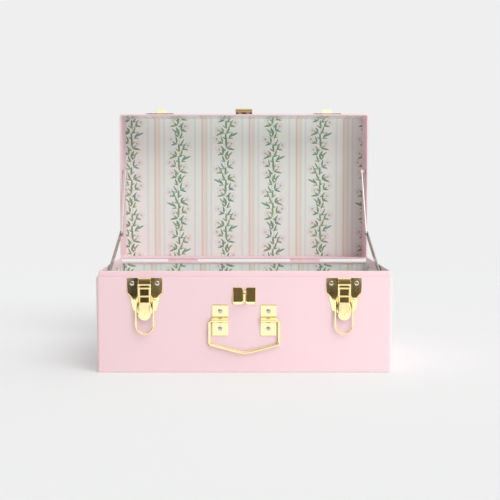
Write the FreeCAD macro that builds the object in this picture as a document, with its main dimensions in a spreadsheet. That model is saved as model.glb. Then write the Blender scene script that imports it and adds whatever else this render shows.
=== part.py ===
"""A small sheet-steel trunk box with a hinged lid, draw latches, a hasp, a drop handle and lid stays.

Millimetres. +X is right, +Y is back, +Z is up. The origin is on the underside, at its centre.
The lid's own pieces are drawn in their closed place and are then turned open about the hinge pins.
"""
import FreeCAD, Part
import math
import os
import re

import Sketcher
from FreeCAD import Placement, Rotation, Vector

SIZES = {
    # the two trays
    "body_width": 360,
    "body_depth": 210,
    "base_height": 117,
    "lid_height": 55,
    "sheet_thick": 1.2,
    "corner_round": 4.2,
    "edge_round": 1.5,
    "shoulder_bevel": 1,
    "hem_thick": 2.9,
    "hem_tall": 3,
    "lid_hem_thick": 2.2,
    "lid_hem_tall": 5,
    "lid_gap": 0.2,
    "open_angle": 91.7,
    # the lip that the lid closes over, on three sides
    "lip_thick": 1,
    "lip_rise": 7.4,
    "lip_sink": 4,
    "lip_back": 98.5,
    # the lining paper
    "paper_thick": 0.5,
    "paper_slack": 0.2,
    "lid_paper_start": 9,
    # clearances and rivets
    "running_gap": 0.05,
    "side_gap": 0.2,
    "rivet_radius": 1.6,
    "rivet_head_radius": 2.9,
    "rivet_head_tall": 1.5,
    "rivet_eye_radius": 0.9,
    # the two butt hinges
    "hinge_offset": 89,
    "hinge_set_back": 3,
    "hinge_width": 43,
    "hinge_tall": 24,
    "hinge_leaf_thick": 1.2,
    "hinge_barrel_radius": 2.5,
    "hinge_pin_radius": 1.25,
    "hinge_rivet_offset": 13,
    "hinge_rivet_drop": 15,
    # the draw latches
    "latch_offset": 120.6,
    "latch_plate_thick": 1.2,
    "latch_width": 43,
    "latch_foot_width": 26.4,
    "latch_top": 116.2,
    "latch_shoulder": 98,
    "latch_foot": 75.7,
    "latch_flank_radius": 34,
    "latch_rivet_offset": 15.2,
    "latch_rivet_height": 109.8,
    "ear_half_width": 7.8,
    "ear_thick": 1,
    "ear_deep": 5.2,
    "ear_foot": 97,
    "bridge_foot": 109.5,
    "lever_pivot_height": 104,
    "lever_pivot_out": 4.4,
    "lever_pin_radius": 1.2,
    "lever_half_width": 6.5,
    "lever_flange_thick": 1.1,
    "lever_flange_inner": 2,
    "lever_face_out": 6.2,
    "lever_face_top": 87,
    "lever_wide": 9.2,
    "lever_flare_steepness": 2,
    "lever_flange_above": 1.8,
    "lever_wide_foot": 73,
    "tongue_half_width": 7.9,
    "tongue_radius": 8.4,
    "tongue_foot": 64.5,
    "bail_pivot_height": 94.2,
    "bail_pivot_out": 4.2,
    "bail_wire_radius": 1,
    "bail_half_width": 10.55,
    "bail_reach": 45.4,
    "bail_end_bend": 1.5,
    "bail_corner_bend": 3,
    "bail_foot_bend": 8,
    "shoulder_steepness": 1.5,
    "wire_end_gap": 0.4,
    # the keepers on the lid
    "keeper_offset": 121.5,
    "keeper_width": 41,
    "keeper_thick": 1.5,
    "keeper_foot": 121,
    "keeper_top": 147,
    "keeper_rivet_offset": 14.5,
    "keeper_rivet_height": 132,
    "hook_width": 13,
    "hook_thick": 1.2,
    "hook_ledge": 138.5,
    "hook_out": 8.4,
    "hook_top": 143.5,
    # the hasp on the lid and its staple on the base
    "hasp_half_width": 12,
    "hasp_leaf_thick": 1.4,
    "hasp_leaf_top": 147,
    "hasp_axis_height": 120.3,
    "hasp_axis_out": 5,
    "hasp_barrel_radius": 2.9,
    "hasp_pin_radius": 1.4,
    "hasp_knuckle_start": 7.8,
    "hasp_rivet_offset": 7,
    "hasp_rivet_height": 137,
    "flap_half_width": 11,
    "flap_thick": 1.4,
    "flap_start": 124,
    "flap_top": 160,
    "flap_slot_half_width": 3.6,
    "flap_slot_low": 137.4,
    "flap_slot_high": 154.6,
    "staple_half_width": 14.2,
    "staple_thick": 3,
    "staple_foot": 83.7,
    "staple_top": 104.7,
    "staple_notch": 2.6,
    "staple_slope_deep": 2.25,
    "staple_slope_tall": 3.6,
    "eye_half_thick": 1.3,
    "eye_foot": 87.2,
    "eye_top": 101.9,
    "eye_out": 13,
    "eye_bore_radius": 3,
    "eye_bore_out": 8.4,
    # the drop handle
    "strap_offset": 29.3,
    "strap_width": 19.2,
    "strap_thick": 1.2,
    "strap_foot": 45.7,
    "strap_top": 83.5,
    "strap_rivet_high": 75.8,
    "strap_rivet_low": 54.2,
    "handle_axis_height": 64.6,
    "handle_axis_out": 2.6,
    "handle_wire_radius": 1.65,
    "handle_half_width": 42.3,
    "handle_end": 20.4,
    "handle_shoulder": 35.2,
    "handle_end_bend": 3.2,
    "handle_elbow_bend": 4,
    "handle_grip_bend": 40,
    "handle_low": 23.9,
    # the jointed lid stays
    "link_width": 9,
    "link_thick": 1.5,
    "lower_link_long": 150,
    "upper_link_long": 103.3,
    "lower_link_in": 5,
    "upper_link_in": 6.8,
    "stay_base_back": -65.4,
    "stay_base_height": 103.3,
    "stay_lid_back": -23,
    "stay_lid_height": 132.1,
    "stay_shank_radius": 2.5,
    "stay_spacer_radius": 3.5,
    "stay_head_radius": 4.2,
    "stay_head_tall": 1,
    "elbow_tail_tall": 0.7,
}

FRONT = "body_depth / 2"
BACK = "body_depth / 2"
HINGE_AXIS_HEIGHT = "base_height + lid_gap / 2"
LID_MOUTH = "base_height + lid_gap"
LID_TOP = "base_height + lid_gap + lid_height"
WORD = re.compile(r"[a-z_]+")

doc = FreeCAD.newDocument("trunk_box")
sheet = doc.addObject("Spreadsheet::Sheet", "Sizes")
for row, (alias, size) in enumerate(SIZES.items(), start=1):
    sheet.set(f"A{row}", alias)
    sheet.set(f"B{row}", str(size))
    sheet.setAlias(f"B{row}", alias)
doc.recompute()

nodes = []


# ---- expressions and document helpers ----

def full(expression):
    """The expression with each driving size named in the spreadsheet."""
    return WORD.sub(lambda w: f"Sizes.{w[0]}" if w[0] in SIZES else w[0], str(expression))


def number(expression):
    """The value of an expression in the driving sizes."""
    return float(sheet.evalExpression(full(expression)))


def bind(item, prop, expression):
    """Make a property follow the driving sizes."""
    item.setExpression(prop, full(expression))


def minus(expression):
    return f"-({expression})"


def keep(item, label):
    """Name a finished sub-part; its label is its node."""
    item.Label = label
    nodes.append(item)
    return item


def opened(item):
    """Turn a lid piece from its closed place to its open place, about the hinge pins."""
    item.Placement = LID_OPEN.multiply(item.Placement)
    return item


def opened_primitive(primitive, label):
    """A lid piece that is one primitive; a compound carries it, because its own place is bound."""
    carrier = doc.addObject("Part::Compound", f"{label}_carrier")
    carrier.Links = [primitive]
    return opened(keep(carrier, label))


def box(name, x, y, z):
    """A block; x, y and z are each a pair of expressions, low and high."""
    item = doc.addObject("Part::Box", name)
    for side, axis, (low, high) in zip(("Length", "Width", "Height"), "xyz", (x, y, z)):
        bind(item, side, f"({high}) - ({low})")
        bind(item, f"Placement.Base.{axis}", low)
    return item


def rod(name, x_low, x_high, y, z, radius):
    """A cylinder along X."""
    item = doc.addObject("Part::Cylinder", name)
    item.Placement.Rotation = Rotation(Vector(0, 1, 0), 90)
    bind(item, "Radius", radius)
    bind(item, "Height", f"({x_high}) - ({x_low})")
    bind(item, "Placement.Base.x", x_low)
    bind(item, "Placement.Base.y", y)
    bind(item, "Placement.Base.z", z)
    return item


def drill(name, x, y_low, y_high, z, radius):
    """A cylinder along Y."""
    item = doc.addObject("Part::Cylinder", name)
    item.Placement.Rotation = Rotation(Vector(1, 0, 0), -90)
    bind(item, "Radius", radius)
    bind(item, "Height", f"({y_high}) - ({y_low})")
    bind(item, "Placement.Base.x", x)
    bind(item, "Placement.Base.y", y_low)
    bind(item, "Placement.Base.z", z)
    return item


def fuse(name, shapes):
    item = doc.addObject("Part::MultiFuse", name)
    item.Shapes = shapes
    item.Refine = True
    return item


def cut(name, base, tools):
    """The base less every tool; the volume must shrink."""
    item = doc.addObject("Part::Cut", name)
    item.Base = base
    item.Tool = fuse(f"{name}_tools", tools) if len(tools) > 1 else tools[0]
    item.Refine = True
    doc.recompute()
    if item.Shape.Volume >= base.Shape.Volume:
        raise ValueError(f"{name}: the cut removed nothing")
    return item


# ---- sketches and PartDesign features ----

def new_body(name):
    return doc.addObject("PartDesign::Body", f"{name}_body")


def sketch_on(body, name, role, offset=0):
    """A sketch parallel to one of the body's origin planes, offset along the plane's normal."""
    sketch = body.newObject("Sketcher::SketchObject", name)
    plane = next(item for item in body.Origin.OriginFeatures if item.Role == role)
    sketch.AttachmentSupport = [(plane, "")]
    sketch.MapMode = "FlatFace"
    bind(sketch, "AttachmentOffset.Base.z", offset)
    return sketch


def pin_point(sketch, geometry, point, across, along):
    """Fix a sketch point at two expressions."""
    for kind, expression in (("DistanceX", across), ("DistanceY", along)):
        constraint = Sketcher.Constraint(kind, -1, 1, geometry, point, number(expression))
        index = sketch.addConstraint(constraint)
        bind(sketch, f"Constraints[{index}]", expression)


def fix_radius(sketch, geometry, expression):
    index = sketch.addConstraint(Sketcher.Constraint("Radius", geometry, number(expression)))
    bind(sketch, f"Constraints[{index}]", expression)


def arc_between(start, end, radius):
    """The shorter arc of a radius between two points; a positive radius turns left.

    A sketched arc always runs anticlockwise, so one that turns right is made from its end to its start.
    """
    chord = end - start
    left = Vector(-chord.y, chord.x, 0).normalize()
    height = math.sqrt(radius ** 2 - (chord.Length / 2) ** 2)
    side = math.copysign(1, radius)
    centre = (start + end) * 0.5 + left * side * height
    middle = centre - left * side * abs(radius)
    return Part.Arc(start, middle, end) if radius > 0 else Part.Arc(end, middle, start)


def outline(sketch, points):
    """A closed outline. A point is (across, along), or (across, along, radius) where an arc runs to it."""
    places = [Vector(number(point[0]), number(point[1]), 0) for point in points]
    edges = []
    for index, point in enumerate(points):
        start, end = places[index - 1], places[index]
        if len(point) == 3:
            edge = sketch.addGeometry(arc_between(start, end, number(point[2])))
            fix_radius(sketch, edge, f"abs({point[2]})")
        else:
            edge = sketch.addGeometry(Part.LineSegment(start, end))
        turns_right = len(point) == 3 and number(point[2]) < 0
        edges.append((edge, 2, 1) if turns_right else (edge, 1, 2))
    for (edge, _, last), (after, first, _), point in zip(edges, edges[1:] + edges[:1], points):
        sketch.addConstraint(Sketcher.Constraint("Coincident", edge, last, after, first))
        pin_point(sketch, edge, last, point[0], point[1])


def rectangle(sketch, x_low, x_high, y_low, y_high):
    outline(sketch, [(x_low, y_low), (x_high, y_low), (x_high, y_high), (x_low, y_high)])


def slot(sketch, long, radius):
    """A straight bar with half-round ends, from the origin along the first axis."""
    quarter = math.pi / 2
    size = number(radius)
    upward = Vector(0, 0, 1)
    start = Part.Circle(Vector(0, 0, 0), upward, size)
    end = Part.Circle(Vector(number(long), 0, 0), upward, size)
    near = sketch.addGeometry(Part.ArcOfCircle(start, quarter, 3 * quarter))
    far = sketch.addGeometry(Part.ArcOfCircle(end, -quarter, quarter))
    below = sketch.addGeometry(Part.LineSegment(Vector(0, -size, 0), Vector(number(long), -size, 0)))
    above = sketch.addGeometry(Part.LineSegment(Vector(number(long), size, 0), Vector(0, size, 0)))
    for here, after in ((near, below), (below, far), (far, above), (above, near)):
        sketch.addConstraint(Sketcher.Constraint("Tangent", here, 2, after, 1))
    pin_point(sketch, near, 3, 0, 0)
    pin_point(sketch, far, 3, long, 0)
    fix_radius(sketch, near, radius)


def circle(sketch, across, along, radius):
    item = sketch.addGeometry(
        Part.Circle(Vector(number(across), number(along), 0), Vector(0, 0, 1), number(radius))
    )
    pin_point(sketch, item, 3, across, along)
    fix_radius(sketch, item, radius)


def pad(body, sketch, length, reverse=False):
    """Add material along the sketch's normal, or against it."""
    feature = body.newObject("PartDesign::Pad", f"{sketch.Name}_pad")
    feature.Profile = sketch
    feature.Reversed = reverse
    bind(feature, "Length", length)
    doc.recompute()
    return feature


def pocket(body, sketch, length, reverse=False):
    """Remove material against the sketch's normal, or along it; the volume must shrink."""
    before = body.Shape.Volume
    feature = body.newObject("PartDesign::Pocket", f"{sketch.Name}_pocket")
    feature.Profile = sketch
    feature.Reversed = reverse
    bind(feature, "Length", length)
    doc.recompute()
    if body.Shape.Volume >= before:
        raise ValueError(f"{sketch.Name}: the pocket removed nothing")
    return feature


def dress(body, kind, name, base, chosen, size):
    """Fillet or chamfer the edges of the base feature that a test picks."""
    edges = [f"Edge{i}" for i, edge in enumerate(base.Shape.Edges, start=1) if chosen(edge)]
    feature = body.newObject(f"PartDesign::{kind}", name)
    feature.Base = (base, edges)
    bind(feature, "Radius" if kind == "Fillet" else "Size", size)
    doc.recompute()
    return feature


def level_at(height):
    """Picks the edges that lie level at a height."""
    level = number(height)
    return lambda edge: abs(edge.BoundBox.ZMin - level) < 0.01 and abs(edge.BoundBox.ZMax - level) < 0.01


# ---- shapes that Part builds directly: wires and rivets ----

def rounded_path(points, radii):
    """A wire of straight runs joined by tangent arcs; radii belong to the inner points."""
    edges = []
    start = points[0]
    for before, corner, after, radius in zip(points, points[1:], points[2:], radii):
        back = (before - corner).normalize()
        ahead = (after - corner).normalize()
        half_turn = back.getAngle(ahead) / 2
        trim = radius / math.tan(half_turn)
        enter = corner + back * trim
        leave = corner + ahead * trim
        inward = (back + ahead).normalize()
        middle = corner + inward * (radius / math.sin(half_turn) - radius)
        edges.append(Part.LineSegment(start, enter).toShape())
        edges.append(Part.Arc(enter, middle, leave).toShape())
        start = leave
    edges.append(Part.LineSegment(start, points[-1]).toShape())
    return Part.Wire(edges)


def bent_wire(points, radii, wire_radius):
    """Round wire along a path; its volume must be its section times its length."""
    path = rounded_path(points, radii)
    direction = points[1] - points[0]
    section = Part.Wire([Part.Circle(points[0], direction, wire_radius).toShape()])
    solid = path.makePipeShell([section], True, False)
    expected = math.pi * wire_radius ** 2 * path.Length
    if abs(solid.Volume - expected) > 0.01 * expected:
        raise ValueError("the bent wire does not have the volume of its length")
    return solid


def feature(label, shape):
    item = doc.addObject("Part::Feature", f"{label}_shape")
    item.Shape = shape
    return keep(item, label)


def rivet(face, outward, grip):
    """A pop rivet: a domed head with a mandrel eye on the face, and a shank through the grip."""
    shank = number("rivet_radius")
    head = number("rivet_head_radius")
    tall = number("rivet_head_tall")
    eye = number("rivet_eye_radius")
    dome = Part.Arc(Vector(head, 0, 0), Vector(0.78 * head, 0, 0.66 * tall), Vector(eye, 0, tall))
    corners = [
        Vector(eye, 0, tall),
        Vector(eye, 0, 0.3 * tall),
        Vector(0, 0, 0.3 * tall),
        Vector(0, 0, -grip),
        Vector(shank, 0, -grip),
        Vector(shank, 0, 0),
        Vector(head, 0, 0),
    ]
    sides = [Part.LineSegment(a, b).toShape() for a, b in zip(corners, corners[1:])]
    profile = Part.Face(Part.Wire([dome.toShape()] + sides))
    solid = profile.revolve(Vector(0, 0, 0), Vector(0, 0, 1), 360)
    solid.Placement = Placement(face, Rotation(Vector(0, 0, 1), outward))
    return solid


def rivets(label, places, outward, grip):
    """Identical rivets as one group of separate solids."""
    return feature(label, Part.Compound([rivet(place, outward, grip) for place in places]))


LID_OPEN = Placement(
    Vector(0, 0, 0),
    Rotation(Vector(1, 0, 0), -number("open_angle")),
    Vector(0, number(f"{BACK} + hinge_set_back"), number(HINGE_AXIS_HEIGHT)),
)
SIDES = (("left", -1), ("right", 1))


# ---- the places of fasteners ----

def latch_rivets(side):
    return [(f"{side} * latch_offset + {s} * latch_rivet_offset", "latch_rivet_height") for s in (-1, 1)]


def strap_rivets(side):
    return [(f"{side} * strap_offset", height) for height in ("strap_rivet_high", "strap_rivet_low")]


def keeper_rivets(side):
    return [(f"{side} * keeper_offset + {s} * keeper_rivet_offset", "keeper_rivet_height") for s in (-1, 1)]


def hinge_rivets(side, up):
    height = f"{HINGE_AXIS_HEIGHT} + {up} * hinge_rivet_drop"
    return [(f"{side} * hinge_offset + {s} * hinge_rivet_offset", height) for s in (-1, 1)]


HASP_RIVETS = [(f"{s} * hasp_rivet_offset", "hasp_rivet_height") for s in (-1, 1)]
BASE_FRONT_RIVETS = [p for _, s in SIDES for p in latch_rivets(s) + strap_rivets(s)]
LID_FRONT_RIVETS = [p for _, s in SIDES for p in keeper_rivets(s)] + HASP_RIVETS
BASE_HINGE_RIVETS = [p for _, s in SIDES for p in hinge_rivets(s, -1)]
LID_HINGE_RIVETS = [p for _, s in SIDES for p in hinge_rivets(s, 1)]


# ---- the two trays and the lip ----

def rounded_rectangle(sketch, x_half, y_low, y_high, radius):
    """A rectangle with four round corners, centred across X."""
    low_arc = f"({y_low}) + ({radius})"
    high_arc = f"({y_high}) - ({radius})"
    out = f"({x_half}) - ({radius})"
    outline(sketch, [
        (out, y_low),
        (x_half, low_arc, radius),
        (x_half, high_arc),
        (out, y_high, radius),
        (minus(out), y_high),
        (minus(x_half), high_arc, radius),
        (minus(x_half), low_arc),
        (minus(out), y_low, radius),
    ])


def tray_outline(sketch, inset):
    rounded_rectangle(
        sketch,
        f"body_width / 2 - ({inset})",
        f"-body_depth / 2 + ({inset})",
        f"body_depth / 2 - ({inset})",
        f"corner_round - ({inset})",
    )


def round_holes(body, name, role, offset, places, radius, depth):
    """Drill holes against the plane's normal."""
    sketch = sketch_on(body, name, role, offset)
    for across, along in places:
        circle(sketch, across, along, radius)
    return pocket(body, sketch, depth)


def make_base_shell():
    body = new_body("base_shell")
    footprint = sketch_on(body, "base_footprint", "XY_Plane")
    tray_outline(footprint, 0)
    block = pad(body, footprint, "base_height")
    rounded = dress(body, "Fillet", "base_foot_round", block, level_at("0"), "edge_round")
    dress(body, "Chamfer", "base_shoulder", rounded, level_at("base_height"), "shoulder_bevel")
    mouth = sketch_on(body, "base_mouth", "XY_Plane", "base_height")
    tray_outline(mouth, "hem_thick")
    pocket(body, mouth, "base_height - sheet_thick")
    cavity = sketch_on(body, "base_cavity", "XY_Plane", "base_height - hem_tall")
    tray_outline(cavity, "sheet_thick")
    pocket(body, cavity, "base_height - hem_tall - sheet_thick")
    wall = "2 * sheet_thick"
    round_holes(body, "base_front_holes", "XZ_Plane", FRONT, BASE_FRONT_RIVETS, "rivet_radius", wall)
    inside_back = f"{wall} - {BACK}"
    round_holes(body, "base_hinge_holes", "XZ_Plane", inside_back, BASE_HINGE_RIVETS, "rivet_radius", wall)
    keep(body, "base_shell")


def make_base_lip():
    """A strip folded round three sides; its arms stop short of the back wall."""
    body = new_body("base_lip")
    foot = "base_height - lip_sink"
    beyond_back = f"{BACK} + corner_round"
    strip = sketch_on(body, "lip_outside", "XY_Plane", foot)
    rounded_rectangle(
        strip,
        "body_width / 2 - hem_thick",
        "hem_thick - body_depth / 2",
        beyond_back,
        "corner_round - hem_thick",
    )
    pad(body, strip, "lip_sink + lip_rise")
    inside = sketch_on(body, "lip_inside", "XY_Plane", "base_height + lip_rise")
    rounded_rectangle(
        inside,
        "body_width / 2 - hem_thick - lip_thick",
        "hem_thick + lip_thick - body_depth / 2",
        f"{beyond_back} - lip_thick",
        "corner_round - hem_thick - lip_thick",
    )
    pocket(body, inside, "lip_sink + lip_rise")
    back = sketch_on(body, "lip_open_back", "XY_Plane", "base_height + lip_rise")
    rectangle(back, "-body_width / 2", "body_width / 2", "lip_back", f"{beyond_back} + lip_thick")
    pocket(body, back, "lip_sink + lip_rise")
    keep(body, "base_lip")


def make_lid_shell():
    body = new_body("lid_shell")
    footprint = sketch_on(body, "lid_footprint", "XY_Plane", LID_MOUTH)
    tray_outline(footprint, 0)
    block = pad(body, footprint, "lid_height")
    dress(body, "Fillet", "lid_top_round", block, level_at(LID_TOP), "edge_round")
    mouth = sketch_on(body, "lid_mouth", "XY_Plane", LID_MOUTH)
    tray_outline(mouth, "lid_hem_thick")
    pocket(body, mouth, "lid_height - sheet_thick", reverse=True)
    cavity = sketch_on(body, "lid_cavity", "XY_Plane", f"{LID_MOUTH} + lid_hem_tall")
    tray_outline(cavity, "sheet_thick")
    pocket(body, cavity, "lid_height - lid_hem_tall - sheet_thick", reverse=True)
    wall = "2 * sheet_thick"
    round_holes(body, "lid_front_holes", "XZ_Plane", FRONT, LID_FRONT_RIVETS, "rivet_radius", wall)
    inside_back = f"{wall} - {BACK}"
    round_holes(body, "lid_hinge_holes", "XZ_Plane", inside_back, LID_HINGE_RIVETS, "rivet_radius", wall)
    opened(keep(body, "lid_shell"))


# ---- the lining paper ----

def make_floor_lining():
    body = new_body("base_lining_floor")
    sheet_outline = sketch_on(body, "floor_paper", "XY_Plane", "sheet_thick")
    tray_outline(sheet_outline, "sheet_thick + paper_slack")
    pad(body, sheet_outline, "paper_thick")
    keep(body, "base_lining_floor")


def make_base_wall_linings():
    """Four sheets that stand on the floor sheet, glued to the walls up to the hem."""
    rise = ("sheet_thick + paper_thick", "base_height - hem_tall")
    long_run = ("corner_round - body_width / 2", "body_width / 2 - corner_round")
    short_run = ("corner_round - body_depth / 2", "body_depth / 2 - corner_round")
    near = "sheet_thick"
    far = "sheet_thick + paper_thick"
    front = ("sheet_thick - body_depth / 2", f"{far} - body_depth / 2")
    back = (f"body_depth / 2 - ({far})", f"body_depth / 2 - {near}")
    keep(box("front_paper", long_run, front, rise), "base_lining_front")
    keep(box("back_paper", long_run, back, rise), "base_lining_back")
    sides = {
        "left": ("sheet_thick - body_width / 2", f"{far} - body_width / 2"),
        "right": (f"body_width / 2 - ({far})", f"body_width / 2 - {near}"),
    }
    for name, across in sides.items():
        paper = box(f"{name}_paper", across, short_run, rise)
        hole = rod(
            f"{name}_paper_hole", *across, "stay_base_back", "stay_base_height", "stay_spacer_radius",
        )
        keep(cut(f"{name}_paper_cut", paper, [hole]), f"base_lining_{name}")


def make_lid_linings():
    body = new_body("lid_lining_top")
    underside = sketch_on(body, "lid_paper", "XY_Plane", f"{LID_TOP} - sheet_thick - paper_thick")
    tray_outline(underside, "sheet_thick + paper_slack")
    pad(body, underside, "paper_thick")
    opened(keep(body, "lid_lining_top"))
    long_run = ("corner_round - body_width / 2", "body_width / 2 - corner_round")
    front = ("sheet_thick - body_depth / 2", "sheet_thick + paper_thick - body_depth / 2")
    rise = (f"{LID_MOUTH} + lid_paper_start", f"{LID_TOP} - sheet_thick - paper_thick")
    opened_primitive(box("lid_front_paper", long_run, front, rise), "lid_lining_front")


# ---- the butt hinges ----

def make_hinge(name, side):
    """A three-knuckle butt hinge: the base leaf has the outer knuckles and the lid leaf the middle one."""
    centre = f"{side} * hinge_offset"
    third = "hinge_width / 6"
    axis_back = f"{BACK} + hinge_set_back"
    thick = (BACK, f"{BACK} + hinge_leaf_thick")
    across = (f"{centre} - hinge_width / 2", f"{centre} + hinge_width / 2")
    clear = "hinge_barrel_radius + 3 * side_gap"
    bore = "hinge_pin_radius + running_gap"
    outer = [
        (across[0], f"{centre} - {third} - side_gap / 2"),
        (f"{centre} + {third} + side_gap / 2", across[1]),
    ]
    middle = [(f"{centre} - {third} + side_gap / 2", f"{centre} + {third} - side_gap / 2")]
    leaves = (
        ("base", outer, middle, -1),
        ("lid", middle, outer, 1),
    )
    for part, own, other, up in leaves:
        tag = f"hinge_{part}_{name}"
        ends = sorted(
            (f"{HINGE_AXIS_HEIGHT}", f"{HINGE_AXIS_HEIGHT} + {up} * hinge_tall"), key=number
        )
        plate = box(f"{tag}_plate", across, thick, ends)
        knuckles = [
            rod(f"{tag}_knuckle_{i}", *span, axis_back, HINGE_AXIS_HEIGHT, "hinge_barrel_radius")
            for i, span in enumerate(own)
        ]
        leaf = fuse(f"{tag}_leaf", [plate] + knuckles)
        spaces = [
            box(
                f"{tag}_space_{i}",
                (f"{span[0]} - side_gap", f"{span[1]} + side_gap"),
                (f"{BACK} - hinge_set_back", f"{axis_back} + {clear}"),
                (f"{HINGE_AXIS_HEIGHT} - ({clear})", f"{HINGE_AXIS_HEIGHT} + {clear}"),
            )
            for i, span in enumerate(other)
        ]
        pin_hole = rod(f"{tag}_bore", *across, axis_back, HINGE_AXIS_HEIGHT, bore)
        holes = [
            drill(f"{tag}_hole_{i}", x, thick[0], thick[1], z, "rivet_radius")
            for i, (x, z) in enumerate(hinge_rivets(side, up))
        ]
        leaf_cut = keep(cut(f"{tag}_cut", leaf, spaces + [pin_hole] + holes), f"hinge_{part}_leaf_{name}")
        if part == "lid":
            opened(leaf_cut)
    pin = rod(f"hinge_pin_{name}_rod", *across, axis_back, HINGE_AXIS_HEIGHT, "hinge_pin_radius")
    keep(pin, f"hinge_pin_{name}")


# ---- the draw latches ----

def make_latch_plate(name, side):
    """The shield plate with the folded ears and bridge that carry the lever's pin."""
    centre = f"{side} * latch_offset"
    body = new_body(f"latch_plate_{name}")
    face = sketch_on(body, f"latch_shield_{name}", "XZ_Plane", FRONT)
    half = "latch_width / 2"
    foot = "latch_foot_width / 2"
    outline(face, [
        (f"{centre} + {foot}", "latch_foot"),
        (f"{centre} + {half}", "latch_shoulder", "-latch_flank_radius"),
        (f"{centre} + {half}", "latch_top"),
        (f"{centre} - {half}", "latch_top"),
        (f"{centre} - {half}", "latch_shoulder"),
        (f"{centre} - {foot}", "latch_foot", "-latch_flank_radius"),
    ])
    pad(body, face, "latch_plate_thick")
    out = "ear_half_width"
    inner = "ear_half_width - ear_thick"
    ears = sketch_on(body, f"latch_ears_{name}", "XZ_Plane", f"{FRONT} + latch_plate_thick")
    outline(ears, [
        (f"{centre} - {out}", "ear_foot"),
        (f"{centre} - ({inner})", "ear_foot"),
        (f"{centre} - ({inner})", "latch_top - ear_thick"),
        (f"{centre} + {inner}", "latch_top - ear_thick"),
        (f"{centre} + {inner}", "ear_foot"),
        (f"{centre} + {out}", "ear_foot"),
        (f"{centre} + {out}", "latch_top"),
        (f"{centre} - {out}", "latch_top"),
    ])
    pad(body, ears, "ear_deep")
    bridge_face = f"{FRONT} + latch_plate_thick + ear_deep"
    bridge = sketch_on(body, f"latch_bridge_{name}", "XZ_Plane", bridge_face)
    rectangle(bridge, f"{centre} - {out}", f"{centre} + {out}", "bridge_foot", "latch_top")
    pad(body, bridge, "ear_thick", reverse=True)
    round_holes(
        body, f"latch_plate_holes_{name}", "XZ_Plane", f"{FRONT} + latch_plate_thick",
        latch_rivets(side), "rivet_radius", "latch_plate_thick",
    )
    round_holes(
        body, f"latch_pin_hole_{name}", "YZ_Plane", f"{centre} + {out}",
        [("-body_depth / 2 - lever_pivot_out", "lever_pivot_height")],
        "lever_pin_radius", "2 * ear_half_width",
    )
    keep(body, f"latch_plate_{name}")


def make_latch_lever(name, side):
    """A folded channel with a flat face and a rounded finger tongue."""
    centre = f"{side} * latch_offset"
    face_out = f"{FRONT} + lever_face_out"
    body = new_body(f"latch_lever_{name}")
    front = sketch_on(body, f"lever_face_{name}", "XZ_Plane", face_out)
    flare = "lever_flare_steepness * (lever_wide - lever_half_width)"
    tongue_top = "lever_wide_foot - 1"
    tongue_side = "lever_wide_foot - 3"
    outline(front, [
        (f"{centre} + lever_half_width", "lever_face_top"),
        (f"{centre} - lever_half_width", "lever_face_top"),
        (f"{centre} - lever_wide", f"lever_face_top - {flare}"),
        (f"{centre} - lever_wide", "lever_wide_foot"),
        (f"{centre} - tongue_half_width", tongue_top),
        (f"{centre} - tongue_half_width", tongue_side),
        (f"{centre}", "tongue_foot", "tongue_radius"),
        (f"{centre} + tongue_half_width", tongue_side, "tongue_radius"),
        (f"{centre} + tongue_half_width", tongue_top),
        (f"{centre} + lever_wide", "lever_wide_foot"),
        (f"{centre} + lever_wide", f"lever_face_top - {flare}"),
    ])
    pad(body, front, "lever_flange_thick", reverse=True)
    near = "-body_depth / 2 - lever_flange_inner"
    far = "-body_depth / 2 - lever_face_out"
    for flange, start in (("a", "lever_flange_thick - lever_half_width"), ("b", "lever_half_width")):
        side_sheet = sketch_on(body, f"lever_flange_{flange}_{name}", "YZ_Plane", f"{centre} + {start}")
        rectangle(side_sheet, far, near, "lever_wide_foot", "lever_pivot_height + lever_flange_above")
        pad(body, side_sheet, "lever_flange_thick", reverse=True)
    bores = (
        ("pin", "-body_depth / 2 - lever_pivot_out", "lever_pivot_height", "lever_pin_radius"),
        ("bail", "-body_depth / 2 - bail_pivot_out", "bail_pivot_height", "bail_wire_radius"),
    )
    for bore, back, height, radius in bores:
        round_holes(
            body, f"lever_{bore}_bore_{name}", "YZ_Plane", f"{centre} + lever_half_width",
            [(back, height)], f"{radius} + running_gap", "2 * lever_half_width",
        )
    keep(body, f"latch_lever_{name}")


def make_latch_pin(name, side):
    centre = f"{side} * latch_offset"
    pin = rod(
        f"latch_pin_{name}_rod",
        f"{centre} - ear_half_width",
        f"{centre} + ear_half_width",
        "-body_depth / 2 - lever_pivot_out",
        "lever_pivot_height",
        "lever_pin_radius",
    )
    keep(pin, f"latch_pin_{name}")


def make_latch_bail(name, side):
    """A wire loop through the lever; its ends butt in the middle of the lever."""
    centre = number(f"{side} * latch_offset")
    out = number("-body_depth / 2 - bail_pivot_out")
    top = number("bail_pivot_height")
    half = number("bail_half_width")
    bottom = top - number("bail_reach")
    half_gap = number("wire_end_gap") / 2
    shoulder = half - number("lever_half_width") - number("lever_flange_thick")
    shoulder_drop = shoulder * number("shoulder_steepness")
    bend, corner, foot_bend = number("bail_end_bend"), number("bail_corner_bend"), number("bail_foot_bend")
    profile = [
        (-half_gap, top),
        (-half + shoulder, top),
        (-half, top - shoulder_drop),
        (-half, bottom),
        (half, bottom),
        (half, top - shoulder_drop),
        (half - shoulder, top),
        (half_gap, top),
    ]
    points = [Vector(centre + x, out, z) for x, z in profile]
    bends = (bend, corner, foot_bend, foot_bend, corner, bend)
    feature(f"latch_bail_{name}", bent_wire(points, bends, number("bail_wire_radius")))


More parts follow.
